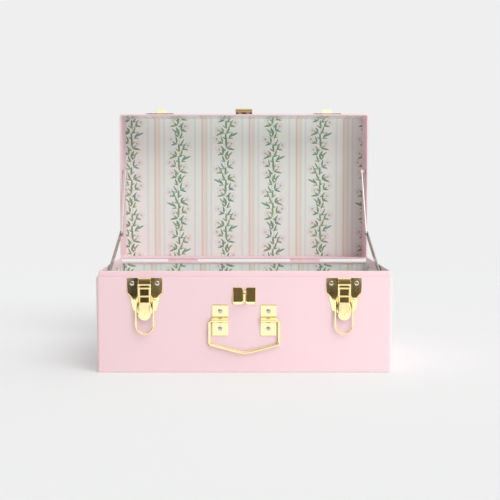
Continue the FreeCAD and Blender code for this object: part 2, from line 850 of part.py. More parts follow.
def make_keeper(name, side):
    """A plate on the lid with an upturned hook that catches the wire loop."""
    centre = f"{side} * keeper_offset"
    body = new_body(f"latch_keeper_{name}")
    plate = sketch_on(body, f"keeper_plate_{name}", "XZ_Plane", FRONT)
    rectangle(
        plate,
        f"{centre} - keeper_width / 2",
        f"{centre} + keeper_width / 2",
        "keeper_foot",
        "keeper_top",
    )
    pad(body, plate, "keeper_thick")
    wall = "-body_depth / 2 - keeper_thick / 2"
    out = "-body_depth / 2 - hook_out"
    hook = sketch_on(body, f"keeper_hook_{name}", "YZ_Plane", f"{centre} - hook_width / 2")
    outline(hook, [
        (wall, "hook_ledge - hook_thick"),
        (wall, "hook_ledge"),
        (f"{out} + hook_thick", "hook_ledge"),
        (f"{out} + hook_thick", "hook_top"),
        (out, "hook_top"),
        (out, "hook_ledge - hook_thick"),
    ])
    pad(body, hook, "hook_width")
    round_holes(
        body, f"keeper_holes_{name}", "XZ_Plane", f"{FRONT} + keeper_thick",
        keeper_rivets(side), "rivet_radius", "keeper_thick",
    )
    opened(keep(body, f"latch_keeper_{name}"))


# ---- the hasp and its staple ----

def make_hasp():
    """A fixed leaf with two knuckles, a slotted flap with the middle knuckle, and the pin."""
    axis = ("-body_depth / 2 - hasp_axis_out", "hasp_axis_height")
    bore = "hasp_pin_radius + running_gap"
    half = "hasp_half_width"
    knuckle = "hasp_knuckle_start"
    plate = box(
        "hasp_plate",
        (f"-{half}", half),
        ("-body_depth / 2 - hasp_leaf_thick", "-body_depth / 2"),
        ("hasp_axis_height", "hasp_leaf_top"),
    )
    spans = ((f"-{half}", f"-{knuckle}"), (knuckle, half))
    knuckles = [
        rod(f"hasp_leaf_knuckle_{i}", *span, *axis, "hasp_barrel_radius") for i, span in enumerate(spans)
    ]
    stems = [
        box(
            f"hasp_stem_{i}",
            span,
            ("-body_depth / 2 - hasp_axis_out", "-body_depth / 2"),
            ("hasp_axis_height + hasp_leaf_thick", "hasp_axis_height + hasp_barrel_radius"),
        )
        for i, span in enumerate(spans)
    ]
    leaf = fuse("hasp_leaf_solid", [plate] + knuckles + stems)
    leaf_tools = [rod("hasp_leaf_bore", f"-{half}", half, *axis, bore)]
    leaf_tools += [
        drill(f"hasp_hole_{i}", x, "-body_depth / 2 - hasp_leaf_thick", "-body_depth / 2", z, "rivet_radius")
        for i, (x, z) in enumerate(HASP_RIVETS)
    ]
    opened(keep(cut("hasp_leaf_cut", leaf, leaf_tools), "hasp_leaf"))

    inner = f"{knuckle} - side_gap"
    web_y = ("-body_depth / 2 - hasp_axis_out - flap_thick", "-body_depth / 2 - hasp_axis_out")
    barrel = rod("flap_knuckle", f"-({inner})", inner, *axis, "hasp_barrel_radius")
    web = box("flap_web", (f"-({inner})", inner), web_y, ("hasp_axis_height", "flap_start"))
    tab = box("flap_tab", ("-flap_half_width", "flap_half_width"), web_y, ("flap_start", "flap_top"))
    flap = fuse("hasp_flap_solid", [barrel, web, tab])
    slot = box(
        "flap_slot",
        ("-flap_slot_half_width", "flap_slot_half_width"),
        web_y,
        ("flap_slot_low", "flap_slot_high"),
    )
    flap_bore = rod("flap_bore", f"-({inner})", inner, *axis, bore)
    opened(keep(cut("hasp_flap_cut", flap, [slot, flap_bore]), "hasp_flap"))
    opened_primitive(rod("hasp_pin_rod", f"-{half}", half, *axis, "hasp_pin_radius"), "hasp_pin")


def make_staple():
    """Two cheeks on the base that fold out at the middle into a bored eye for a padlock."""
    body = new_body("hasp_staple")
    half = "staple_half_width"
    notch = "staple_notch"
    flat = "eye_half_thick + staple_notch"
    cheeks = sketch_on(body, "staple_cheeks", "XZ_Plane", FRONT)
    outline(cheeks, [
        (f"-{half}", "staple_foot"),
        (f"-({flat})", "staple_foot"),
        ("-eye_half_thick", f"staple_foot + {notch}"),
        ("eye_half_thick", f"staple_foot + {notch}"),
        (flat, "staple_foot"),
        (half, "staple_foot"),
        (half, "staple_top"),
        (flat, "staple_top"),
        ("eye_half_thick", f"staple_top - {notch}"),
        ("-eye_half_thick", f"staple_top - {notch}"),
        (f"-({flat})", "staple_top"),
        (f"-{half}", "staple_top"),
    ])
    pad(body, cheeks, "staple_thick")
    slope = sketch_on(body, "staple_slope", "YZ_Plane", half)
    front = "-body_depth / 2 - staple_thick"
    outline(slope, [
        (front, "staple_foot"),
        (f"{front} + staple_slope_deep", "staple_foot"),
        (front, "staple_foot + staple_slope_tall"),
    ])
    pocket(body, slope, f"2 * {half}")
    eye = sketch_on(body, "staple_eye", "YZ_Plane", "-eye_half_thick")
    rectangle(eye, "-body_depth / 2 - eye_out", "-body_depth / 2 - staple_thick / 2", "eye_foot", "eye_top")
    pad(body, eye, "2 * eye_half_thick")
    round_holes(
        body, "staple_bore", "YZ_Plane", "eye_half_thick",
        [("-body_depth / 2 - eye_bore_out", "(eye_foot + eye_top) / 2")],
        "eye_bore_radius", "2 * eye_half_thick",
    )
    keep(body, "hasp_staple")


# ---- the drop handle ----

def make_handle_strap(name, side):
    """A riveted strap rolled into a barrel round the handle's wire."""
    centre = f"{side} * strap_offset"
    axis = ("-body_depth / 2 - handle_axis_out", "handle_axis_height")
    across = (f"{centre} - strap_width / 2", f"{centre} + strap_width / 2")
    thick = ("-body_depth / 2 - strap_thick", "-body_depth / 2")
    bore = "handle_wire_radius + 2 * running_gap"
    plate = box(f"strap_plate_{name}", across, thick, ("strap_foot", "strap_top"))
    barrel = rod(f"strap_barrel_{name}", *across, *axis, f"{bore} + strap_thick")
    solid = fuse(f"strap_solid_{name}", [plate, barrel])
    behind = box(
        f"strap_behind_{name}",
        across,
        ("-body_depth / 2", "body_depth / 2"),
        ("strap_foot", "strap_top"),
    )
    tools = [rod(f"strap_bore_{name}", *across, *axis, bore), behind]
    tools += [
        drill(f"strap_hole_{name}_{i}", x, thick[0], thick[1], z, "rivet_radius")
        for i, (x, z) in enumerate(strap_rivets(side))
    ]
    keep(cut(f"strap_cut_{name}", solid, tools), f"handle_strap_{name}")


def make_handle():
    """Round wire: two trunnions in the straps, straight arms and a shallow pointed grip."""
    out = number("-body_depth / 2 - handle_axis_out")
    top = number("handle_axis_height")
    half = number("handle_half_width")
    shoulder = number("handle_shoulder")
    end = number("handle_end")
    profile = [(-end, top), (-half, top), (-half, shoulder), (0, number("handle_low"))]
    profile += [(-x, z) for x, z in reversed(profile[:-1])]
    points = [Vector(x, out, z) for x, z in profile]
    end_bend, elbow_bend = number("handle_end_bend"), number("handle_elbow_bend")
    bends = (end_bend, elbow_bend, number("handle_grip_bend"), elbow_bend, end_bend)
    feature("carry_handle", bent_wire(points, bends, number("handle_wire_radius")))


# ---- the jointed lid stays ----

def meeting_point(centre_a, reach_a, centre_b, reach_b):
    """The front meeting point of two circles in the YZ plane."""
    span = centre_b - centre_a
    along = (span.Length ** 2 + reach_a ** 2 - reach_b ** 2) / (2 * span.Length)
    aside = math.sqrt(reach_a ** 2 - along ** 2)
    direction = Vector(span).normalize()
    normal = Vector(0, direction.z, -direction.y)
    return centre_a + direction * along + normal * aside


def slope_of(start, end):
    """The angle of a run in the YZ plane, in degrees from +Y towards +Z."""
    return math.degrees(math.atan2(end.z - start.z, end.y - start.y))


def make_link(label, long, x_low, start, end):
    """A flat bar with round ends and two holes, laid from one pivot to the next."""
    body = new_body(label)
    bar = sketch_on(body, f"{label}_bar", "YZ_Plane")
    slot(bar, long, "link_width / 2")
    pad(body, bar, "link_thick")
    holes = [(0, 0), (long, 0)]
    bore = "stay_shank_radius + running_gap"
    round_holes(body, f"{label}_holes", "YZ_Plane", "link_thick", holes, bore, "link_thick")
    body.Placement = Placement(
        Vector(x_low, start.y, start.z), Rotation(Vector(1, 0, 0), slope_of(start, end))
    )
    keep(body, label)


def stud(tag, side, parts, back, height):
    """Turned steps along X; each is inner and outer depth from the outside face, and a radius."""
    rods = []
    for index, (outer, inner, radius) in enumerate(parts):
        ends = sorted((f"{side} * (body_width / 2 - ({d}))" for d in (outer, inner)), key=number)
        rods.append(rod(f"{tag}_step_{index}", *ends, back, height, radius))
    return fuse(f"{tag}_turned", rods)


def make_stay(name, side):
    """A lower link on the base and an upper link on the lid, with their pivots and the elbow."""
    base_pivot = Vector(0, number("stay_base_back"), number("stay_base_height"))
    closed_pivot = Vector(0, number("stay_lid_back"), number("stay_lid_height"))
    lid_pivot = LID_OPEN.multVec(closed_pivot)
    lower_long = number("lower_link_long")
    upper_long = number("upper_link_long")
    elbow = meeting_point(base_pivot, lower_long, lid_pivot, upper_long)
    lower_inner = "lower_link_in + link_thick"
    upper_inner = "upper_link_in + link_thick"
    inward = number("link_thick") if side > 0 else 0
    x_lower = number(f"{side} * (body_width / 2 - lower_link_in)") - inward
    x_upper = number(f"{side} * (body_width / 2 - upper_link_in)") - inward
    make_link(f"stay_lower_link_{name}", "lower_link_long", x_lower, base_pivot, elbow)
    make_link(f"stay_upper_link_{name}", "upper_link_long", x_upper, lid_pivot, elbow)

    shank = "stay_shank_radius"
    spacer = "stay_spacer_radius"
    head = "stay_head_radius"
    slack = "2 * running_gap"
    base_steps = [
        ("sheet_thick", f"lower_link_in - {slack}", spacer),
        ("sheet_thick", f"{lower_inner} + {slack}", shank),
        (f"{lower_inner} + {slack}", f"{lower_inner} + {slack} + stay_head_tall", head),
    ]
    keep(
        stud(f"stay_base_pivot_{name}_stud", side, base_steps, "stay_base_back", "stay_base_height"),
        f"stay_base_pivot_{name}",
    )
    lid_steps = [
        ("sheet_thick", f"upper_link_in - {slack}", spacer),
        ("sheet_thick", f"{upper_inner} + {slack}", shank),
        (f"{upper_inner} + {slack}", f"{upper_inner} + {slack} + stay_head_tall", head),
    ]
    opened(keep(
        stud(f"stay_lid_pivot_{name}_stud", side, lid_steps, "stay_lid_back", "stay_lid_height"),
        f"stay_lid_pivot_{name}",
    ))
    tail_steps = [
        ("lower_link_in - elbow_tail_tall", "lower_link_in", head),
        ("lower_link_in - elbow_tail_tall / 2", lower_inner, shank),
    ]
    tail = stud(f"stay_elbow_tail_{name}_stud", side, tail_steps, elbow.y, elbow.z)
    keep(tail, f"stay_elbow_tail_{name}")
    cap_steps = [
        ("upper_link_in", f"{upper_inner} + stay_head_tall / 2", shank),
        (upper_inner, f"{upper_inner} + stay_head_tall", head),
    ]
    cap = stud(f"stay_elbow_cap_{name}_stud", side, cap_steps, elbow.y, elbow.z)
    keep(cap, f"stay_elbow_cap_{name}")


# ---- the rivets ----

def front_places(places, plate_thick):
    return [Vector(number(x), number(f"-body_depth / 2 - ({plate_thick})"), number(z)) for x, z in places]


def back_places(places):
    return [Vector(number(x), number(f"{BACK} + hinge_leaf_thick"), number(z)) for x, z in places]


def make_rivets():
    forward = Vector(0, -1, 0)
    backward = Vector(0, 1, 0)
    sheet_thick = number("sheet_thick")
    for name, side in SIDES:
        plate = number("latch_plate_thick")
        places = front_places(latch_rivets(side), plate)
        rivets(f"latch_rivets_{name}", places, forward, plate + sheet_thick)
        strap = number("strap_thick")
        places = front_places(strap_rivets(side), strap)
        rivets(f"handle_rivets_{name}", places, forward, strap + sheet_thick)
        keeper = number("keeper_thick")
        opened(rivets(
            f"keeper_rivets_{name}", front_places(keeper_rivets(side), keeper), forward, keeper + sheet_thick
        ))
    leaf = number("hasp_leaf_thick")
    opened(rivets("hasp_rivets", front_places(HASP_RIVETS, leaf), forward, leaf + sheet_thick))
    grip = number("hinge_leaf_thick + sheet_thick")
    rivets("hinge_rivets_base", back_places(BASE_HINGE_RIVETS), backward, grip)
    opened(rivets("hinge_rivets_lid", back_places(LID_HINGE_RIVETS), backward, grip))


# ---- the whole box ----

make_base_shell()
make_base_lip()
make_floor_lining()
make_base_wall_linings()
make_lid_shell()
make_lid_linings()
for side_name, side_sign in SIDES:
    make_hinge(side_name, side_sign)
    make_latch_plate(side_name, side_sign)
    make_latch_lever(side_name, side_sign)
    make_latch_pin(side_name, side_sign)
    make_latch_bail(side_name, side_sign)
    make_keeper(side_name, side_sign)
    make_handle_strap(side_name, side_sign)
    make_stay(side_name, side_sign)
make_hasp()
make_staple()
make_handle()
make_rivets()
doc.recompute()

for item in doc.Objects:
    if any(state in ("Invalid", "Error") for state in item.State):
        raise RuntimeError(f"{item.Label} failed: {item.State}")
os.makedirs("parts", exist_ok=True)
for node in nodes:
    if node.Shape.isNull() or not node.Shape.isValid():
        raise RuntimeError(f"{node.Label} has no valid shape")
    node.Shape.exportStep(f"parts/{node.Label}.step")
print(f"{len(nodes)} sub-parts")
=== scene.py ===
"""Looks of a small painted steel trunk box with polished brass fittings and a printed paper lining.

Sizes are written in millimetres and become metres when a mesh is made.
+X is right, +Y is back, +Z is up. Lid pieces are drawn closed and turned open about the hinge pins.
"""

import math
import random

import bmesh
import bpy
from mathutils import Matrix, Vector
from mathutils.geometry import delaunay_2d_cdt


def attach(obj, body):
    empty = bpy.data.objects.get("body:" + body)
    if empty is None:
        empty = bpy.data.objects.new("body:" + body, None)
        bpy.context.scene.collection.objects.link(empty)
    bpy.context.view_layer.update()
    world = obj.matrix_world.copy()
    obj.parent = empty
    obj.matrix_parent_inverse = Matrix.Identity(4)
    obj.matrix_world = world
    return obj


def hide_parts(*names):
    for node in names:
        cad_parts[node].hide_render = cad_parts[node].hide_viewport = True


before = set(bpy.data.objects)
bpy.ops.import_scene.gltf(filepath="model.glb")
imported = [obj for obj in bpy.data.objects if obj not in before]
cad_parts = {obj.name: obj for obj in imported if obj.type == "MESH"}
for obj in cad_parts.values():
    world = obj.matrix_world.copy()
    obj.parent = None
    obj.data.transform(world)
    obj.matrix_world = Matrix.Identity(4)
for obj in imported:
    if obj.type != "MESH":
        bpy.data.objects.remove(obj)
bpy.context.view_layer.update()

MM = 0.001
HALF_WIDTH, HALF_DEPTH = 180, 105
CORNER = 4.2
BASE_TOP = 117
LID_MOUTH, LID_TOP = 117.2, 172.2
OPEN_ANGLE = math.radians(91.7)
FRONT = -HALF_DEPTH
HINGE_Y, HINGE_Z = 108, 117.1
HINGE_AXIS = Vector((0, HINGE_Y, HINGE_Z))
OPEN = (Matrix.Translation(HINGE_AXIS) @ Matrix.Rotation(-OPEN_ANGLE, 4, "X")
        @ Matrix.Translation(-HINGE_AXIS))
STAY = Matrix.Identity(4)


# ---- materials ----

def srgb(red, green, blue):
    """An 8-bit display colour as the linear colour that a shader takes."""
    def linear(value):
        value /= 255
        return value / 12.92 if value <= 0.04045 else ((value + 0.055) / 1.055) ** 2.4
    return (linear(red), linear(green), linear(blue), 1)


class Nodes:
    """A cleared node tree with a few short ways to add and wire nodes."""

    def __init__(self, block):
        block.use_nodes = True
        self.tree = block.node_tree
        self.tree.nodes.clear()

    def add(self, kind, **settings):
        node = self.tree.nodes.new(f"ShaderNode{kind}")
        for key, value in settings.items():
            setattr(node, key, value)
        return node

    def link(self, start, end):
        self.tree.links.new(start, end)

    def put(self, socket, value):
        """A socket takes a plain value or another node's output."""
        if isinstance(value, bpy.types.NodeSocket):
            self.link(value, socket)
        else:
            socket.default_value = value

    def math(self, kind, *values):
        node = self.add("Math", operation=kind)
        for socket, value in zip(node.inputs, values):
            self.put(socket, value)
        return node.outputs[0]

    def step(self, value, low, high, start=0.0, stop=1.0):
        """A smooth step from start to stop as the value goes from low to high."""
        node = self.add("MapRange", interpolation_type="SMOOTHSTEP")
        self.put(node.inputs["Value"], value)
        for key, number in zip(("From Min", "From Max", "To Min", "To Max"), (low, high, start, stop)):
            node.inputs[key].default_value = number
        return node.outputs[0]

    def blend(self, first, second, share):
        """Two numbers mixed by a third."""
        rest = self.math("MULTIPLY", first, self.math("SUBTRACT", 1, share))
        return self.math("ADD", rest, self.math("MULTIPLY", share, second))

    def mixed(self, share, first, second, blend="MIX"):
        """Two colours mixed; each may be a colour or a socket."""
        node = self.add("Mix", data_type="RGBA", blend_type=blend)
        for index, value in ((0, share), (6, first), (7, second)):
            self.put(node.inputs[index], value)
        return node.outputs[2]

    def emission(self, colour, strength):
        node = self.add("Emission")
        node.inputs["Color"].default_value = colour
        node.inputs["Strength"].default_value = strength
        return node.outputs[0]


class Shader(Nodes):
    """A principled material whose patterns follow the object's own coordinates."""

    def __init__(self, name):
        self.material = bpy.data.materials.new(name)
        super().__init__(self.material)
        out = self.add("OutputMaterial")
        self.surface = self.add("BsdfPrincipled")
        self.link(self.surface.outputs[0], out.inputs["Surface"])
        self.place = self.add("TexCoord").outputs["Object"]

    def set(self, **inputs):
        for key, value in inputs.items():
            self.surface.inputs[key.replace("_", " ")].default_value = value

    def noise(self, scale, detail=2, stretch=(1, 1, 1)):
        spread = self.add("Mapping")
        spread.inputs["Scale"].default_value = stretch
        self.link(self.place, spread.inputs["Vector"])
        node = self.add("TexNoise")
        node.inputs["Scale"].default_value = scale
        node.inputs["Detail"].default_value = detail
        self.link(spread.outputs[0], node.inputs["Vector"])
        return node.outputs["Fac"]

    def ranged(self, value, low, high):
        node = self.add("MapRange")
        node.inputs["To Min"].default_value = low
        node.inputs["To Max"].default_value = high
        self.link(value, node.inputs["Value"])
        return node.outputs[0]

    def bump(self, height, strength, distance):
        node = self.add("Bump")
        node.inputs["Strength"].default_value = strength
        node.inputs["Distance"].default_value = distance
        self.link(height, node.inputs["Height"])
        self.link(node.outputs[0], self.surface.inputs["Normal"])


def paint_material():
    """Satin enamel: a faint cloudiness, a fine orange peel and a slightly uneven gloss."""
    s = Shader("pink_enamel")
    cloud = s.noise(14, 3)
    s.link(s.mixed(cloud, srgb(247, 216, 223), srgb(249, 220, 227)), s.surface.inputs["Base Color"])
    s.link(s.ranged(s.noise(60, 2), 0.36, 0.44), s.surface.inputs["Roughness"])
    s.bump(s.noise(900, 2), 0.12, 0.0002)
    s.set(Specular_IOR_Level=0.35)
    return s.material


def brass_material(name="polished_brass", tint=(1.0, 0.88, 0.5, 1), deep=(1.0, 0.84, 0.44, 1)):
    """Polished brass with soft rolling marks and a few faint cloudy patches."""
    s = Shader(name)
    cloud = s.noise(70, 3)
    s.link(s.mixed(cloud, tint, deep), s.surface.inputs["Base Color"])
    marks = s.noise(260, 3, (1, 1, 0.12))
    s.link(s.ranged(marks, 0.09, 0.17), s.surface.inputs["Roughness"])
    s.bump(s.noise(160, 2), 0.05, 0.0004)
    s.set(Metallic=1.0)
    return s.material


def nickel_material(name, light, dark, rough):
    """Steel, brushed along its length; the stays' lighter and darker copies of it are painted highlight
    and painted shade.
    """
    s = Shader(name)
    s.link(s.mixed(s.noise(120, 3), light, dark), s.surface.inputs["Base Color"])
    brushed = s.noise(500, 3, (0.1, 1, 1))
    s.link(s.ranged(brushed, rough - 0.05, rough + 0.07), s.surface.inputs["Roughness"])
    s.bump(s.noise(700, 2, (0.15, 1, 1)), 0.06, 0.0002)
    s.set(Metallic=1.0)
    return s.material


def paper_material():
    """Printed paper: the print is the sheet's own face colours, over a fine fibre."""
    s = Shader("printed_paper")
    ink = s.add("VertexColor", layer_name="ink").outputs["Color"]
    fibre = s.noise(420, 4)
    grey = s.add("CombineColor")
    level = s.ranged(fibre, 0.95, 1.0)
    for channel in range(3):
        s.link(level, grey.inputs[channel])
    s.link(s.mixed(1.0, ink, grey.outputs[0], "MULTIPLY"), s.surface.inputs["Base Color"])
    s.set(Roughness=0.62, Specular_IOR_Level=0.25)
    s.bump(fibre, 0.1, 0.0002)
    return s.material


PAINT = paint_material()
BRASS = brass_material()
# The hasp's darker copy of the brass is painted shade: it stands for the dark that the hasp's metal
# reflects.
SHADED_BRASS = brass_material("shaded_brass", (0.54, 0.41, 0.2, 1), (0.46, 0.34, 0.15, 1))
STEEL = nickel_material("rivet_steel", (0.64, 0.62, 0.64, 1), (0.55, 0.53, 0.56, 1), 0.14)
# The stays' two steels are one metal: the lighter copy is a painted highlight, the darker copy painted
# shade.
NICKEL = nickel_material("lit_nickel", (0.88, 0.86, 0.82, 1), (0.76, 0.73, 0.69, 1), 0.18)
SHADED_NICKEL = nickel_material("shaded_nickel", (0.42, 0.38, 0.33, 1), (0.33, 0.29, 0.25, 1), 0.26)
PAPER = paper_material()


# ---- making pieces ----

def in_scene(name, data):
    item = bpy.data.objects.new(name, data)
    bpy.context.scene.collection.objects.link(item)
    return item


def mesh_of(name, points, faces, place):
    """A mesh from points in millimetres."""
    mesh = bpy.data.meshes.new(name)
    mesh.from_pydata([(place @ Vector(p)) * MM for p in points], [], faces)
    return mesh


def face_outwards(mesh):
    work = bmesh.new()
    work.from_mesh(mesh)
    bmesh.ops.recalc_face_normals(work, faces=work.faces)
    work.to_mesh(mesh)
    work.free()


def as_piece(mesh, material, body, nodes):
    """A finished mesh becomes a piece on a body, which stands for the CAD nodes named."""
    mesh.materials.append(material)
    item = in_scene(mesh.name, mesh)
    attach(item, body)
    for node in nodes:
        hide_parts(node)
    return item


def finish_edges(item, width, segments=2, angle=38):
    """Rounds the sharp edges a little, so that they catch the light, and evens the shading."""
    bevel = item.modifiers.new("edge_round", "BEVEL")
    bevel.width = width * MM
    bevel.segments = segments
    bevel.limit_method = "ANGLE"
    bevel.angle_limit = math.radians(angle)
    bevel.harden_normals = False
    even_shading(item)


def even_shading(item):
    item.modifiers.new("even_shading", "WEIGHTED_NORMAL").keep_sharp = True


def on_axis(axis, a, b, depth):
    """A point of a flat outline, at a depth along x, y or z."""
    return {"x": (depth, a, b), "y": (a, depth, b), "z": (a, b, depth)}[axis]


def pairs(loop):
    """Each item of a closed loop with the one after it."""
    return zip(loop, loop[1:] + loop[:1])


def is_clockwise(outline):
    return sum(a[0] * b[1] - b[0] * a[1] for a, b in pairs(outline)) < 0


def round_angles(sides):
    return [2 * math.pi * k / sides for k in range(sides)]


THINNEST = 0.02  # a turned body's radius never falls below this, so its tip has no folded faces


class Solid:
    """Collects closed bodies in millimetres, to become one piece."""

    def __init__(self):
        self.points = []
        self.faces = []

    def add(self, points, faces):
        first = len(self.points)
        self.points += [tuple(p) for p in points]
        self.faces += [tuple(first + i for i in face) for face in faces]
        return self

    def rows(self, rows, round_all=False):
        """Skins equal closed rows of points, with caps unless the rows close on themselves."""
        count = len(rows[0])
        faces = []
        for r in range(len(rows) if round_all else len(rows) - 1):
            here, there = r * count, (r + 1) % len(rows) * count
            for k in range(count):
                n = (k + 1) % count
                faces.append((here + k, here + n, there + n, there + k))
        if not round_all:
            faces.append(tuple(range(count)))
            faces.append(tuple((len(rows) - 1) * count + k for k in range(count)))
        return self.add([p for row in rows for p in row], faces)

    def prism(self, outline, axis, low, high):
        """A flat outline given a thickness along x, y or z."""
        return self.rows([[on_axis(axis, a, b, depth) for a, b in outline] for depth in (low, high)])

    def section(self, outline, low, high):
        """An outline of (out, z) pairs, measured out from the front wall, given a width along X."""
        return self.prism([(FRONT - out, z) for out, z in outline], "x", low, high)

    def tube(self, path, radius, sides=16):
        """Round wire along a path of points, with flat ends."""
        path = [Vector(p) for p in path]
        rows = []
        turned = None
        for i, point in enumerate(path):
            ahead = (path[min(i + 1, len(path) - 1)] - path[max(i - 1, 0)]).normalized()
            if turned is None:
                turned = ahead.orthogonal().normalized()
            else:
                turned = (turned - ahead * turned.dot(ahead)).normalized()
            other = ahead.cross(turned)
            rows.append([
                point + (turned * math.cos(a) + other * math.sin(a)) * radius
                for a in round_angles(sides)
            ])
        return self.rows(rows)

    def turned(self, centre, axis, profile, sides=24):
        """A turned body; profile is (along, radius) pairs from one end to the other."""
        centre, axis = Vector(centre), Vector(axis).normalized()
        first = axis.orthogonal().normalized()
        second = axis.cross(first)
        spokes = [first * math.cos(a) + second * math.sin(a) for a in round_angles(sides)]
        return self.rows([
            [centre + axis * along + spoke * max(radius, THINNEST) for spoke in spokes]
            for along, radius in profile
        ])

    def piece(self, name, material, body, slot, node, place=STAY, crease=30):
        """The finished piece, shaded smooth up to the crease angle, in degrees."""
        mesh = mesh_of(name, self.points, self.faces, place)
        mesh.validate()
        face_outwards(mesh)
        for face in mesh.polygons:
            face.use_smooth = True
        mesh.set_sharp_from_angle(angle=math.radians(crease))
        return as_piece(mesh, material, body, [node])


def arc(centre, radius, start, stop, count):
    """Points on an arc, in degrees, both ends included."""
    turns = (math.radians(start + (stop - start) * k / count) for k in range(count + 1))
    return [(centre[0] + radius * math.cos(a), centre[1] + radius * math.sin(a)) for a in turns]


def rounded_path(corners, radii, count=7):
    """A path of straight runs joined by arcs; radii belong to the inner corners."""
    corners = [Vector(c) for c in corners]
    path = [corners[0]]
    for before, corner, after, radius in zip(corners, corners[1:], corners[2:], radii):
        back, ahead = (before - corner).normalized(), (after - corner).normalized()
        half = back.angle(ahead) / 2
        middle = corner + (back + ahead).normalized() * (radius / math.sin(half))
        inset = radius / math.tan(half)
        enter, leave = corner + back * inset, corner + ahead * inset
        first, last = enter - middle, leave - middle
        sweep = first.angle(last)
        for k in range(count + 1):
            share = k / count
            spoke = first * math.sin((1 - share) * sweep) + last * math.sin(share * sweep)
            path.append(middle + spoke / math.sin(sweep))
    path.append(corners[-1])
    return path


def ring(inset, height, steps=6):
    """The body's footprint, a rounded rectangle, drawn in by an inset at a height."""
    across, deep, bend = HALF_WIDTH - inset, HALF_DEPTH - inset, max(CORNER - inset, 0.6)
    row = []
    corners = ((1, 1, 0), (-1, 1, 90), (-1, -1, 180), (1, -1, 270))
    for right, back, start in corners:
        centre = (right * (across - bend), back * (deep - bend))
        row += [(x, y, height) for x, y in arc(centre, bend, start, start + 90, steps)]
    return row


# ---- the two trays ----

def make_trays():
    """Pressed trays with a rolled hem at the mouth; both are one closed sheet."""
    foot = [(1.5, 0), (0.75, 0.2), (0.2, 0.75), (0, 1.5)]
    shoulder = [(0, 0.7), (0.15, 0.25), (0.5, 0.05), (1.2, 0), (2.5, 0.1), (2.88, 0.6)]
    base = foot + [(inset, BASE_TOP - drop) for inset, drop in shoulder]
    base += [(2.9, 114.6), (2.5, 114.1), (1.25, 113.9), (1.2, 113), (1.2, 2.2), (1.6, 1.4), (2.4, 1.2)]
    tray = Solid().rows([ring(inset, z) for inset, z in base])
    even_shading(tray.piece("base_tray", PAINT, "base", "pink_paint", "base_shell", crease=50))
    top = [(inset, LID_TOP - drop) for inset, drop in ((2.4, 1.2), (1.6, 1.4), (1.2, 2.2))]
    top += [(1.2, 123.2), (1.25, 122.4), (1.9, 122.2), (2.2, 121.8), (2.2, 117.8), (1.9, 117.3)]
    top += [(1.1, LID_MOUTH), (0.3, 117.35), (0, 117.9)]
    top += [(inset, LID_TOP - drop) for inset, drop in ((0, 1.5), (0.2, 0.75), (0.75, 0.2), (1.5, 0))]
    lid = Solid().rows([ring(inset, z) for inset, z in top])
    even_shading(lid.piece("lid_tray", PAINT, "lid", "pink_paint", "lid_shell", OPEN, crease=50))


def make_lip():
    """The strip that the lid closes over: rolled at the top, round three sides."""
    outside, inside = 2.95, 3.85
    bend, seam = CORNER - outside, 98.4

    def run(inset):
        across, front, radius = HALF_WIDTH - inset, -HALF_DEPTH + inset, bend - (inset - outside)
        left = arc((-across + radius, front + radius), radius, 180, 270, 6)
        right = arc((across - radius, front + radius), radius, 270, 360, 6)
        return [(-across, seam)] + left + right + [(across, seam)]

    section = [(outside, 113.2), (outside, 123.7), (3.1, 124.15), (3.4, 124.35), (3.7, 124.15)]
    section += [(inside, 123.7), (inside, 113.2)]
    runs = [[(x, y, z) for x, y in run(inset)] for inset, z in section]
    strip = Solid().rows([list(column) for column in zip(*runs)])
    even_shading(strip.piece("closing_lip", PAINT, "base", "pink_paint", "base_lip", crease=50))


# ---- the printed paper ----

GROUND = (243, 246, 242)
GREENS = ((124, 154, 122), (138, 162, 124), (150, 166, 128), (130, 158, 130))
BLUE_GREENS = ((112, 154, 132), (122, 160, 138))
STALK = (190, 200, 184)
PETAL, PETAL_EDGE = (244, 243, 245), (198, 198, 208)
HEARTS = ((226, 188, 150), (230, 192, 152), (220, 184, 154))
FAINT_LINES, PALE_BAND = ((232, 236, 234), (232, 236, 236)), (238, 235, 229)
WARM_LINES = (((234, 218, 208), (237, 228, 217)), ((233, 216, 203), (236, 228, 218)))

SPRAY_TALL, STALK_SWAY, STALK_WIDTH = 70, 1.6, 0.5
TWIGS, FIRST_TWIG, TWIG_STEP = 8, 5, 8.4
LEAF_LONGER, LEAF_SLIMMER = 0.22, 0.86
SIDE_LEAF_TURN, SIDE_LEAF_LENGTH, SIDE_LEAF_WIDTH = 50, 0.74, 0.66


def design_spray():
    """A generic trailing vine, grown by rule: twigs to either side in turn, with leaves and flowers.

    The stalk ends where the next spray, its mirror image, begins. A leaf is its base, tip, width,
    sideways bow, and whether its green is a bluish one.
    """
    pick = random.Random(5)

    def stalk(y):
        return Vector((STALK_SWAY * math.cos(math.pi * y / SPRAY_TALL), y))

    def turned(heading, degrees):
        return Matrix.Rotation(math.radians(degrees), 2) @ heading

    leaves, flowers = [], []
    stalks = [[tuple(stalk(-SPRAY_TALL * k / 12)) for k in range(13)]]
    for k in range(TWIGS):
        side = 1 if k % 2 else -1
        root = stalk(-FIRST_TWIG - TWIG_STEP * k)
        rise = math.radians(pick.uniform(15, 50))
        heading = Vector((side * math.cos(rise), math.sin(rise)))
        reach = pick.uniform(8, 13)
        knee, end = root + heading * reach * 0.5 - Vector((0, 0.8)), root + heading * reach
        stalks.append([tuple(root), tuple(knee), tuple(end)])
        grown = [(root, turned(heading, side * pick.uniform(60, 90)))]
        grown.append((knee, turned(heading, side * pick.uniform(20, 45))))
        if k % 4 == 3:
            grown.append((end, heading))
        else:
            flowers.append(tuple(end + heading * 4.5))
            grown.append((knee, turned(heading, -side * pick.uniform(35, 60))))
        for base, way in grown:
            tip = base + way * pick.uniform(7, 10.5)
            width, bow = pick.uniform(2.6, 3.8), side * pick.uniform(0.4, 1.2)
            leaves.append((tuple(base), tuple(tip), width, bow, k % 3 == 0))
    return leaves, flowers, stalks


LEAVES, FLOWERS, STALKS = design_spray()


